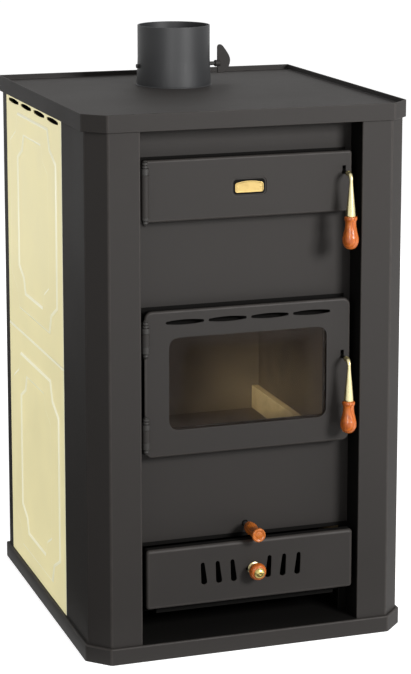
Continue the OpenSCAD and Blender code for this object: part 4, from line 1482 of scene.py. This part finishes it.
@dataclass
class Door(FoldedFront):
    """Folded door with its liner and seal, told apart by the names of its CAD nodes."""

    bend: float = 4.5 * MM
    steps: int = 5
    reach: float = 6 * MM
    name: str = ""
    rope_r: float = 5.15 * MM
    rope_bend: float = 9 * MM
    rope_back: float = 0.3 * MM
    opening: float = 186 * MM
    sheet: float = 3 * MM
    web_gap: float = 3 * MM
    web_least: float = 5 * MM
    web_in: float = 2 * MM
    vents: Pair = (170 * MM, 630 * MM)

    def build(self, rack: FinishRack) -> None:
        """Build and dress the shell, the liner and the rope.

        Args:
            rack: Shared finishes.
        """
        # The black second finish on the shell's returns is painted shade of the gap behind the
        # door.
        self.shell().dress(rack.paint, self.name + "_shell", rack.black)
        Piece.plain(self.name + "_pan", self.name + "_liner", 0.8 * MM, rack.black)
        self.rope().dress(rack.rope, self.name + "_seal")

    def shell(self) -> Piece:
        """Shell with rounded folds, its hinge web let in behind the barrel.

        Returns:
            The worked piece.
        """
        face = Room.of(self.name + "_liner").low.y - self.sheet
        web = Room.of("upper_hinge_bracket").high.x + self.web_gap
        piece = self.fold(self.name + "_sheet", self.name + "_shell", face)
        for vert in piece.bm.verts:
            if abs(vert.co.x - web) < 2 * NEAR and vert.co.y < face - self.web_least:
                vert.co.y = face - self.web_in
        return self.coat(self.small_edges(piece, face), face)

    def small_edges(self, piece: Piece, face: float) -> Piece:
        """Break the edges of the openings in the face.

        Args:
            piece: The shell.
            face: Y of the front face.

        Returns:
            The shell.
        """

        def on_face(edge: BMEdge) -> bool:
            """True on an opening's edge, but not on a vent."""
            mid = middle_of(edge)
            return at_depth(edge, face) and abs(mid.x) < self.opening and not self.is_vent(mid)

        return piece.round_edges(self.edge, 2, on_face, 60.0)

    def is_vent(self, point: Vector) -> bool:
        """True on the lens-shaped vents, whose tips are too fine to round."""
        side, low = self.vents
        return self.name == "fire_door" and point.z > low and abs(point.x) < side

    def rope(self) -> Piece:
        """Round rope laid in the liner's groove.

        Returns:
            The worked piece.
        """
        room = Room.of(self.name + "_seal")
        half = (room.size.x / 2 - self.rope_r, room.size.z / 2 - self.rope_r)
        line = rounded(half, self.rope_bend, room.middle.z)
        path = [Vector((x, room.middle.y + self.rope_back, z)) for x, z in line]
        return Piece(self.name + "_rope").sweep(path, [self.rope_r] * len(path), 16, True)


@dataclass
class FireDoor(Door):
    """Fire door: also has the glass and its clips."""

    name: str = "fire_door"
    overlap: float = 12 * MM
    screw_in: Pair = (8 * MM, 9 * MM)

    def build(self, rack: FinishRack) -> None:
        """Build and dress the door with its glass and clips.

        Args:
            rack: Shared finishes.
        """
        super().build(rack)
        room, clip = Room.of("fire_door_glass"), Room.of("glass_clips")
        view = room.size.x / 2 - self.overlap, room.low.z + self.overlap, room.high.z - self.overlap
        glass = CeramicGlass("smoked_glass", *view).material()
        Piece.plain("window_pane", "fire_door_glass", 0.8 * MM, glass)
        clips = Piece.from_node("pane_clips", "glass_clips").round_edges(0.4 * MM)
        head = in_mm((0.0, 0.0), (3.2, 0.0), (3.0, 1.2), (1.8, 1.9), (0.0, 2.1))
        x, up = clip.high.x - self.screw_in[0], self.screw_in[1]
        for side in (-1, 1):
            for z in (clip.low.z + up, clip.high.z - up):
                clips.turn(head, (side * x, clip.high.y, z), Axis.Y, 20)
        clips.dress(rack.zinc, "glass_clips")


@dataclass
class UpperDoor(Door):
    """Upper door: also has the bare brass nameplate."""

    name: str = "upper_door"
    rim: float = 1.6 * MM
    step: Pair = (0.5 * MM, -0.6 * MM)
    rivet: Triple = (5.5 * MM, 0.62 * MM, 1 * MM)
    pocket: Pair = (67 * MM, 33 * MM)
    pocket_edge: float = 1.3 * MM
    bed: float = 0.25 * MM
    # Width, height and corner radius of the black sheet of painted shade round the plate.
    shade_patch: Triple = (62 * MM, 28 * MM, 6.5 * MM)
    rise: float = 4 * MM
    corner: float = 4.5 * MM

    def build(self, rack: FinishRack) -> None:
        """Build and dress the door with its plate.

        Args:
            rack: Shared finishes.
        """
        super().build(rack)
        room = Room.of("nameplate")
        dull = ((178, 154, 100), (132, 108, 64), (0.4, 0.52))
        brass = Brass("stamped_brass", room.middle, Axis.X, 0.6 * MM, *dull)
        self.badge(room).dress(brass.material(), "nameplate")
        # A black sheet round the plate stands in for the shade inside the pocket.
        self.shade_bed(room).dress(rack.black, "nameplate", extra=Slot.BLACK)

    def small_edges(self, piece: Piece, face: float) -> Piece:
        """Round the pressed edge of the nameplate's pocket more than the others.

        Args:
            piece: The shell.
            face: Y of the front face.

        Returns:
            The shell.
        """
        z = Room.of("nameplate").middle.z
        side, end = self.pocket[0] / 2 + 1 * MM, self.pocket[1] / 2 + 2 * MM

        def on_pocket(edge: BMEdge) -> bool:
            """True on the pocket's edge in the face."""
            mid = middle_of(edge)
            return abs(mid.x) < side and abs(mid.z - z) < end and at_depth(edge, face)

        piece.round_edges(self.pocket_edge, 3, on_pocket, 60.0)
        return super().small_edges(piece, face)

    def shade_bed(self, room: Room) -> Piece:
        """Black sheet in the pocket round the plate: painted shade of the pocket's depth.

        Args:
            room: Box of the CAD nameplate.

        Returns:
            The worked piece.
        """
        across, high, bend = self.shade_patch
        outline = rounded((across / 2, high / 2), bend, Room.of("upper_door_shell").middle.z)
        return Piece("badge_lining").plate(outline, room.high.y - self.bed, room.high.y)

    def outline(self, room: Room) -> list[Pair]:
        """Outline of the plate, with round corners under a shallow arch.

        Args:
            room: Box of the CAD nameplate.

        Returns:
            Corners in X and Z, in order.
        """
        half, bend = room.size.x / 2, self.corner
        lean = math.atan(2 * self.rise * (half - bend) / half**2)
        reach = half - bend + bend * math.sin(lean)

        def crown(x: float) -> float:
            """Height of the arch."""
            return room.high.z - self.rise * (x / half) ** 2

        right = []
        shoulder = crown(reach) - bend * math.cos(lean)
        foot = (room.low.z + bend, -math.pi / 2, math.pi / 12)
        for z, first, step in (foot, (shoulder, 0.0, (math.pi / 2 - lean) / 6)):
            for a in (first + step * i for i in range(7)):
                right.append((half - bend + bend * math.cos(a), z + bend * math.sin(a)))
        top = [(x, crown(x)) for x in (reach * (1 - i / 8) for i in range(1, 8))]
        left = [(-x, z) for x, z in reversed(right + top)]
        return right + top + [(0.0, room.high.z)] + left

    def badge(self, room: Room) -> Piece:
        """Bare plate with an arched top, a raised rim and two rivets.

        Args:
            room: Box of the CAD nameplate.

        Returns:
            The worked piece.
        """
        piece = Piece("badge_plate").plate(self.outline(room), room.low.y, room.high.y - self.bed)
        front = [f for f in piece.bm.faces if f.normal.y < -0.9]
        for width, depth in ((self.rim, 0.0), self.step):
            bmesh.ops.inset_region(
                piece.bm, faces=front, thickness=width, depth=depth, use_even_offset=True
            )
        piece.round_edges(0.3 * MM, least=35.0)
        head = in_mm((0.0, 0.0), (1.6, 0.0), (1.4, 0.35), (0.8, 0.55), (0.0, 0.6))
        inset, sunk, drop = self.rivet
        for x in (inset - room.size.x / 2, room.size.x / 2 - inset):
            centre = (x, room.low.y + sunk, room.middle.z - drop)
            piece.turn(head, centre, Axis.FRONT, 20)
        return piece


@dataclass
class Hinge:
    """Turned barrels with rings at the head and a ball at the foot, on welded straps."""

    bracket: str
    pin: str
    count: int
    height: float
    low: float
    high: float
    radius: float = 8.0 * MM
    strap: float = 6.0 * MM
    neck: float = 8.5 * MM
    rings: float = 12.5 * MM

    def build(self, rack: FinishRack) -> None:
        """Build and dress the fixed knuckles and their pins.

        Args:
            rack: Shared finishes.
        """
        room = Room.of(self.bracket)
        centre = (room.low.x + self.radius, room.low.y + self.radius)
        fixed = Piece(self.bracket + "_turned")
        pins = Piece(self.pin + "_turned")
        for foot in [room.low.z, room.high.z - self.height][: self.count]:
            head = foot + self.height
            fixed.turn(self.foot_profile(), (*centre, foot), Axis.Z, 40)
            fixed.turn(self.head_profile(), (*centre, head - self.high), Axis.Z, 40)
            spans = ((foot + self.neck, foot + self.low), (head - self.high, head - self.rings))
            for z0, z1 in spans:
                fixed.block((room.low.x, centre[1], z0), (room.low.x + self.strap, room.high.y, z1))
            pins.turn(self.pin_profile(), (*centre, foot), Axis.Z, 32)
        fixed.dress(rack.hinge, self.bracket)
        pins.dress(rack.hinge, self.pin)

    def foot_profile(self) -> list[Pair]:
        """Lower knuckle: a ball, a ring and the start of the barrel.

        Returns:
            Its profile.
        """
        tall = self.low / MM
        return in_mm(
            (0.0, 0.0), (3.6, 0.0), (4.9, 0.9), (5.8, 2.4), (6.0, 3.6), (5.7, 5.0), (4.9, 6.2),
            (4.3, 6.9), (4.3, 7.4), (6.4, 7.6), (6.7, 8.1), (6.7, 8.5), (7.6, 8.8), (8.0, 9.3),
            (8.0, tall - 0.5), (7.5, tall), (0.0, tall),
        )

    def head_profile(self) -> list[Pair]:
        """Upper knuckle: the end of the barrel and two rings, measured down from the top.

        Returns:
            Its profile.
        """
        tall = self.high / MM
        points = [
            (12.5, 8.0), (12.0, 7.6), (11.8, 4.9), (11.3, 4.7), (10.9, 5.2), (10.6, 6.4),
            (9.8, 6.8), (7.6, 6.8), (6.8, 6.4), (6.5, 5.2), (6.1, 4.6), (5.6, 4.6), (5.2, 5.2),
            (4.9, 6.1), (4.1, 6.5), (1.9, 6.5), (1.0, 6.0), (0.3, 4.8), (0.0, 3.6), (0.0, 0.0),
        ]
        return in_mm((0.0, 0.0), (7.5, 0.0), (8.0, 0.5), *((r, tall - down) for down, r in points))

    def pin_profile(self) -> list[Pair]:
        """Pin through the barrel, with a small dome at either end.

        Returns:
            Its profile.
        """
        tall = self.height / MM
        return in_mm(
            (0.0, -2.9), (2.0, -2.7), (3.4, -2.0), (4.1, -1.0), (4.2, -0.3), (3.0, -0.3),
            (3.0, tall + 0.3), (4.4, tall + 0.3), (4.5, tall + 0.9), (3.9, tall + 1.9),
            (2.4, tall + 2.7), (0.0, tall + 2.9),
        )


@dataclass
class Latch:
    """Brass lever with a turned wooden grip."""

    name: str
    hub_r: float = 8.0 * MM
    neck: float = 3.2 * MM
    swell: float = 2.0 * MM
    bend: float = 12 * MM
    behind_pivot: float = 16 * MM
    swelling: Triple = (2.5 * MM, 5 * MM, 3 * MM)
    hub_half: float = 4.5 * MM
    bar: float = 3 * MM
    hook: Pair = (4 * MM, 7 * MM)
    cone: tuple[Pair, ...] = (
        (0.1, 3.6), (0.25, 4.6), (0.5, 6.3), (0.75, 7.9), (0.95, 9.1), (0.98, 9.1), (1.0, 8.6),
    )
    grip_share: tuple[Pair, ...] = (
        (0.0, 0.0), (0.3, 0.008), (0.52, 0.032), (0.7, 0.07), (0.84, 0.12), (0.94, 0.175),
        (0.985, 0.225), (1.0, 0.275), (0.995, 0.32), (0.98, 0.36), (0.975, 0.38), (0.935, 0.4),
        (0.9, 0.44), (0.85, 0.5), (0.79, 0.56), (0.74, 0.62), (0.7, 0.69), (0.675, 0.76),
        (0.67, 0.82), (0.69, 0.87), (0.75, 0.885), (0.785, 0.91), (0.8, 0.94), (0.785, 0.97),
        (0.745, 0.99), (0.66, 1.0), (0.0, 1.0),
    )

    def build(self, rack: FinishRack) -> None:
        """Build and dress the lever and the grip.

        Args:
            rack: Shared finishes.
        """
        grip = Room.of(self.name + "_latch_grip")
        x, y = grip.middle.x, grip.middle.y
        brass = Brass(self.name + "_lever_brass", (x, y, grip.high.z)).material()
        # Faces of the lever behind the door's face take the black second finish: painted shade
        # inside the slot.
        inside = Room.of(self.name + "_door_shell").low.y - 0.5 * MM
        arm = self.lever(grip).second_coat(lambda f: f.calc_center_median().y > inside)
        arm.dress(brass, self.name + "_latch_lever", rack.black)
        wood = VarnishedWood(self.name + "_grip_wood", grip.middle).material()
        profile = scaled(self.grip_share, grip.size.x / 2, grip.size.z)
        piece = Piece(self.name + "_grip_turned").turn(profile, (x, y, grip.low.z), Axis.Z, 56)
        piece.dress(wood, self.name + "_latch_grip", crease=60.0)

    def lever(self, grip: Room) -> Piece:
        """Lever swept from its hub through the bend down to the grip.

        Args:
            grip: Box of the CAD grip.

        Returns:
            The worked piece.
        """
        room = Room.of(self.name + "_latch_lever")
        face = Room.of(self.name + "_door_shell").low.y
        x, hang = grip.middle.x, grip.middle.y
        pivot_z, pivot_y = room.high.z - self.hub_r, room.high.y - self.behind_pivot
        first, second, third = self.swelling
        depths = (pivot_y, face - first, face - second, hang + self.bend + third)
        path = [Vector((x, y, pivot_z)) for y in depths]
        radii = [self.neck, self.neck, self.neck + 0.8 * self.swell, self.neck + self.swell]
        low = pivot_z - self.bend
        for i in range(9):
            a = math.radians(90 * i / 8)
            y, z = hang + self.bend - self.bend * math.sin(a), low + self.bend * math.cos(a)
            path.append(Vector((x, y, z)))
            radii.append(self.neck + self.swell * (1 - i / 8))
        for share, radius in self.cone:
            path.append(Vector((x, hang, low - share * (low - grip.high.z))))
            radii.append(radius * MM)
        piece = Piece(self.name + "_lever_turned").sweep(path, radii, 32)
        hub = in_mm((0.0, 0.0), (7.0, 0.0), (8.0, 1.0), (8.0, 8.0), (7.0, 9.0), (0.0, 9.0))
        piece.turn(hub, (x - self.hub_half, pivot_y, pivot_z), Axis.X, 32)
        side, end, (deep, tall) = self.bar, room.high.y, self.hook
        piece.block((x - side, pivot_y, pivot_z - side), (x + side, end, pivot_z + side))
        return piece.block((x - side, end - deep, pivot_z), (x + side, end, pivot_z + tall))


@dataclass
class AshDrawer(FoldedFront):
    """Drawer front, ash pan, shutter and the turned air knob."""

    bend: float = 6.0 * MM
    steps: int = 6
    reach: float = 5 * MM
    ferrule: tuple[Pair, ...] = (
        (0.0, 0.3), (12.4, 0.3), (12.9, 0.9), (12.9, 1.9), (12.2, 2.6), (10.2, 2.9), (8.6, 3.6),
        (8.2, 4.6), (8.9, 5.4), (10.6, 5.8), (11.4, 6.5), (11.2, 7.4),
    )
    ferrule_end: float = 10.4 * MM
    rod: float = 3 * MM
    cap: tuple[Pair, ...] = (
        (0.0, 0.0), (9.6, 0.0), (10, 0.5), (10, 1.5), (9.3, 2.0), (9.2, 2.5), (9.5, 3.1),
        (8.8, 4.6), (7.2, 5.9), (5.0, 6.7),
    )
    cap_dimple: tuple[Pair, ...] = ((3.0, 0.0), (2.3, 0.2), (2.0, 1.0), (1.6, 2.6), (0.0, 2.8))
    ball_share: tuple[Pair, ...] = (
        (0.0, 0.0), (0.66, 0.0), (0.72, 0.03), (0.76, 0.09), (0.77, 0.14), (0.75, 0.17),
        (0.79, 0.2), (0.86, 0.26), (0.94, 0.36), (0.985, 0.46), (1.0, 0.56), (0.99, 0.66),
        (0.955, 0.76), (0.9, 0.85), (0.83, 0.92), (0.75, 0.97), (0.68, 1.0), (0.0, 1.0),
    )

    def build(self, rack: FinishRack) -> None:
        """Build and dress the drawer.

        Args:
            rack: Shared finishes.
        """
        # The black second finish on the drawer's returns is painted shade of the gap behind it.
        self.front().dress(rack.paint, "ash_drawer_front", rack.black)
        Piece.plain("ash_box", "ash_pan", 0.6 * MM, rack.black)
        Piece.plain("air_slide", "air_shutter", 0.4 * MM, rack.black)
        self.knob()

    def front(self) -> Piece:
        """Front with rounded folds, softened slots and its returns coloured black as painted shade.

        Returns:
            The worked piece.
        """
        face = Room.of("ash_drawer_front").low.y
        piece = self.fold("drawer_sheet", "ash_drawer_front", face)
        return self.coat(piece.round_edges(self.edge, 2, lambda e: at_depth(e, face), 60.0), face)

    def knob(self) -> None:
        """Brass ferrule, wooden ball and brass cap on their stem."""
        stem, ball, cap = (Room.of("air_knob_" + part) for part in ("stem", "ball", "cap"))
        x, y, z = ball.middle
        face = Room.of("ash_drawer_front").low.y
        length, top = face - ball.high.y, cap.size.y
        ferrule = in_mm(*self.ferrule) + [(self.ferrule_end, length), (0.0, length)]
        rod = [(0.0, 0.0), (self.rod, 0.0), (self.rod, stem.size.y), (0.0, stem.size.y)]
        ball_profile = scaled(self.ball_share, ball.size.x / 2, ball.size.y)
        dimple = [(r * MM, top - down * MM) for r, down in self.cap_dimple]
        cap_profile = in_mm(*self.cap) + dimple
        brass = Brass("knob_brass", (x, y, z), Axis.FRONT)
        wood = VarnishedWood("knob_wood", (x, y, z), Axis.FRONT)
        old = ((226, 208, 132), (160, 140, 80))
        old_brass = Brass("cap_brass", (x, cap.middle.y, z), Axis.FRONT, 0.9 * MM, *old)
        piece = Piece("knob_ferrule").turn(ferrule, (x, face, z), Axis.FRONT, 40)
        piece.turn(rod, (x, stem.high.y, z), Axis.FRONT, 20)
        piece.dress(brass.material(), "air_knob_stem", crease=50.0)
        piece = Piece("knob_ball").turn(ball_profile, (x, ball.high.y, z), Axis.FRONT, 48)
        piece.dress(wood.material(), "air_knob_ball", crease=50.0)
        piece = Piece("knob_cap").turn(cap_profile, (x, cap.high.y, z), Axis.FRONT, 40)
        piece.dress(old_brass.material(), "air_knob_cap", crease=50.0)


@dataclass
class GrateShaker:
    """Turned wooden spool on the shaker rod."""

    share: tuple[Pair, ...] = (
        (0.0, 0.0), (0.66, 0.0), (0.76, 0.02), (0.82, 0.06), (0.84, 0.1), (0.81, 0.13), (0.8, 0.15),
        (0.86, 0.18), (0.9, 0.23), (0.9, 0.28), (0.85, 0.35), (0.78, 0.42), (0.74, 0.5),
        (0.75, 0.58), (0.79, 0.66), (0.86, 0.75), (0.93, 0.83), (0.985, 0.9), (1.0, 0.94),
        (0.99, 0.97), (0.93, 0.992), (0.84, 1.0), (0.76, 0.998), (0.7, 0.985), (0.6, 0.972),
        (0.5, 0.975), (0.42, 0.985), (0.0, 0.99),
    )

    def build(self, rack: FinishRack) -> None:
        """Build and dress the knob and the rod.

        Args:
            rack: Shared finishes.
        """
        room = Room.of("shaker_knob")
        wood = VarnishedWood("shaker_wood", room.middle, Axis.FRONT, (224, 128, 44), (150, 68, 18))
        profile = scaled(self.share, room.size.x / 2, room.size.y)
        foot = (room.middle.x, room.high.y, room.middle.z)
        knob = Piece("shaker_spool").turn(profile, foot, Axis.FRONT, 48)
        knob.dress(wood.material(), "shaker_knob", crease=60.0)
        Piece.from_node("shaker_bar", "shaker_rod").dress(rack.zinc, "shaker_rod")


@dataclass
class KeptNodes:
    """CAD nodes whose own shape is right, which get a better finish; those in the recess get the
    black finish as painted shade.
    """

    painted_shade_nodes: tuple[str, ...] = ("base_plate", "ash_floor", "boiler_stands")

    def build(self, rack: FinishRack) -> None:
        """Dress every CAD node that nothing stands for.

        Args:
            rack: Shared finishes.
        """
        for name, node in frame["nodes"].items():
            if node.hide_render:
                continue
            node.data.materials.clear()
            # Nodes in the recess take the black finish: painted shade.
            finish = rack.black if name in self.painted_shade_nodes else rack.for_slot(Slot(SLOT_OF[name]))
            node.data.materials.append(finish)
            LOG.info("%s: CAD shape with a new finish", name)


# Studio


@dataclass
class Studio:
    """Pale floor, soft light and the camera at the photograph's place."""

    camera_at: Triple = (-1.3532, -4.0895, 1.5686)
    heading: float = 0.3236
    down: float = 0.1742
    pixels: float = 2194.55
    shift: float = -0.20
    frame_height: int = 674
    sky_light: float = 0.24
    sky_mirrored: float = 0.8

    def build(self) -> None:
        """Make the floor, the sky, the lamps and the camera."""
        self.floor()
        self.sky()
        self.lamp("key", (1.6, -3.6, 2.05), (0.0, 0.0, 0.65), 1.0, 145.0)
        fill = self.lamp("left_fill", (-3.5, 0.6, 0.6), (0.0, 0.0, 0.4), 1.3, 67.0)
        self.aim_at(fill, ("panel_left_lower_enamel", "panel_left_upper_enamel"))
        strip = self.lamp("window_strip", (-1.7, -3.4, 1.5), (0.1, -0.33, 0.6), 1.6, 60.0)
        strip.data.shape, strip.data.size, strip.data.size_y = "RECTANGLE", 0.3, 1.6
        strip.visible_diffuse = False
        turned = ("upper_grip_turned", "fire_grip_turned", "shaker_spool", "knob_ball", "flue_tube")
        self.aim_at(strip, turned)
        self.lamp("back_fill", (1.6, 3.4, 2.2), (0.0, 0.0, 0.6), 1.8, 55.0, False)
        fire = self.lamp("firebox_lamp", (-1.8, -3.6, 1.6), (0.05, 0.0, 0.4), 1.2, 225.0, False)
        inside = ("kerb_slabs", "hearth_plate_casting", "smoke_baffle_casting")
        self.aim_at(fire, inside, ("jacket_left", "jacket_right", "jacket_rear", "jacket_crown"))
        self.mat("side", (-1.95, 0.8), (1.6, 2.2), 0.02)
        self.mat("front", (0.0, -0.78), (0.7, 0.36), 0.1)
        self.camera()

    @staticmethod
    def sheet(
        name: str, middle: Triple, half: Pair, cloth: Material, unseen: Sequence[str] = ()
    ) -> None:
        """Lay a level sheet that belongs to the studio.

        Args:
            name: Name of the sheet.
            middle: Its middle in metres.
            half: Half its width and depth in metres.
            cloth: Its material.
            unseen: Kinds of rays that miss it.
        """
        part = bmesh.new()
        bmesh.ops.create_grid(part, x_segments=1, y_segments=1, size=1.0)
        bmesh.ops.scale(part, vec=(*half, 1.0), verts=part.verts)
        bmesh.ops.translate(part, vec=middle, verts=part.verts)
        mesh = bpy.data.meshes.new(name)
        part.to_mesh(mesh)
        part.free()
        mesh.materials.append(cloth)
        sheet = bpy.data.objects.new(name, mesh)
        for kind in unseen:
            setattr(sheet, "visible_" + kind, False)
        bpy.context.scene.collection.objects.link(sheet)

    def floor(self) -> None:
        """Wide floor that is white to the camera, straight or by glass, and keeps the shadow."""
        mix = Recipe("studio_floor_paint")
        path = mix.node("LightPath", {}).outputs
        straight = mix.sum(path["Is Camera Ray"], path["Is Glossy Ray"], Work.MAXIMUM)
        seen = mix.sum(straight, path["Is Transmission Ray"], Work.MAXIMUM)
        paint = mix.set(
            Base_Color=mix.tint(seen, (0.78, 0.78, 0.78, 1.0), (0.6, 0.6, 0.6, 1.0)),
            Roughness=0.9,
            Specular_IOR_Level=0.0,
            Emission_Color=WHITE,
            Emission_Strength=mix.times(seen, 0.9),
        )
        self.sheet("studio_floor", (0.0, 0.0, 0.0), (40.0, 40.0), paint)

    def mat(self, name: str, middle: Pair, half: Pair, tone: float) -> None:
        """Dark mat on the floor that only glossy rays see, against the floor's glare on the folds.

        Args:
            name: Side on which the mat lies.
            middle: Its middle on the floor in metres.
            half: Half its width and depth in metres.
            tone: Lightness of its cloth, from 0 to 1.
        """
        cloth = Recipe(name + "_mat_cloth").set(
            Base_Color=(tone, tone, tone, 1.0), Roughness=1.0, Specular_IOR_Level=0.0
        )
        unseen = ("camera", "diffuse", "transmission", "volume_scatter", "shadow")
        self.sheet(name + "_glare_mat", (*middle, 0.002), half, cloth, unseen)

    def sky(self) -> None:
        """White surroundings that light the object more softly than they show."""
        world = bpy.data.worlds.new("studio_sky")
        tree = Tree(world)
        path = tree.node("LightPath", {}).outputs
        unseen = tree.spread(path["Is Glossy Ray"], 0.0, 1.0, self.sky_light, self.sky_mirrored)
        shown = tree.sum(path["Is Camera Ray"], path["Is Transmission Ray"], Work.MAXIMUM)
        strength = tree.spread(shown, 0.0, 1.0, unseen)
        back = tree.node("Background", {"Color": WHITE, "Strength": strength})
        tree.node("OutputWorld", {"Surface": back.outputs[0]})
        bpy.context.scene.world = world

    @staticmethod
    def lamp(
        name: str, at: Triple, aim: Triple, size: float, power: float, mirrored: bool = True
    ) -> Object:
        """Hang a square soft lamp.

        Args:
            name: Name of the lamp.
            at: Its place in metres.
            aim: Point that it looks at.
            size: Side in metres.
            power: Power in watts.
            mirrored: False for a lamp that leaves no highlight.

        Returns:
            The lamp.
        """
        data = bpy.data.lights.new(name, "AREA")
        data.shape, data.size, data.energy = "SQUARE", size, power
        lamp = bpy.data.objects.new(name, data)
        lamp.location = at
        lamp.rotation_euler = (Vector(aim) - Vector(at)).to_track_quat("-Z", "Y").to_euler()
        lamp.visible_glossy = mirrored
        bpy.context.scene.collection.objects.link(lamp)
        return lamp

    @staticmethod
    def aim_at(lamp: Object, pieces: Sequence[str], nodes: Sequence[str] = ()) -> None:
        """Let a lamp light some things only.

        Args:
            lamp: The lamp.
            pieces: Names of the pieces that it lights.
            nodes: CAD nodes that it lights as well.
        """
        lit = bpy.data.collections.new(lamp.name + "_lights")
        things = [bpy.data.objects[name] for name in pieces]
        for thing in things + [frame["nodes"][name] for name in nodes]:
            lit.objects.link(thing)
        lamp.light_linking.receiver_collection = lit

    def camera(self) -> None:
        """Camera fitted to the corners of the stove in the photograph."""
        data = bpy.data.cameras.new("photo_camera")
        data.sensor_width = 36.0
        data.lens = self.pixels / self.frame_height * data.sensor_width
        data.shift_y = self.shift
        camera = bpy.data.objects.new("photo_camera", data)
        camera.location = self.camera_at
        camera.rotation_euler = (math.pi / 2 - self.down, 0.0, -self.heading)
        bpy.context.scene.collection.objects.link(camera)
        bpy.context.scene.camera = camera


def main() -> None:
    """Build the sub-assemblies in order, then the studio."""
    logging.basicConfig(level=logging.INFO, format="%(message)s")
    rack = FinishRack.mixed()
    for assembly in (
        Casing(),
        SidePanels(face=Room.of("column_right").high.x),
        Flue(),
        Boiler(),
        UpperDoor(),
        FireDoor(),
        Hinge("upper_hinge_bracket", "upper_hinge_pin", 1, 116 * MM, 14 * MM, 24 * MM),
        Hinge("fire_hinge_brackets", "fire_hinge_pins", 2, 68 * MM, 22 * MM, 22 * MM),
        Latch("upper"),
        Latch("fire"),
        AshDrawer(),
        GrateShaker(),
        KeptNodes(),
    ):
        assembly.build(rack)
    Studio().build()
    bpy.context.scene.view_settings.view_transform = "Standard"


if __name__ == "__main__":
    main()
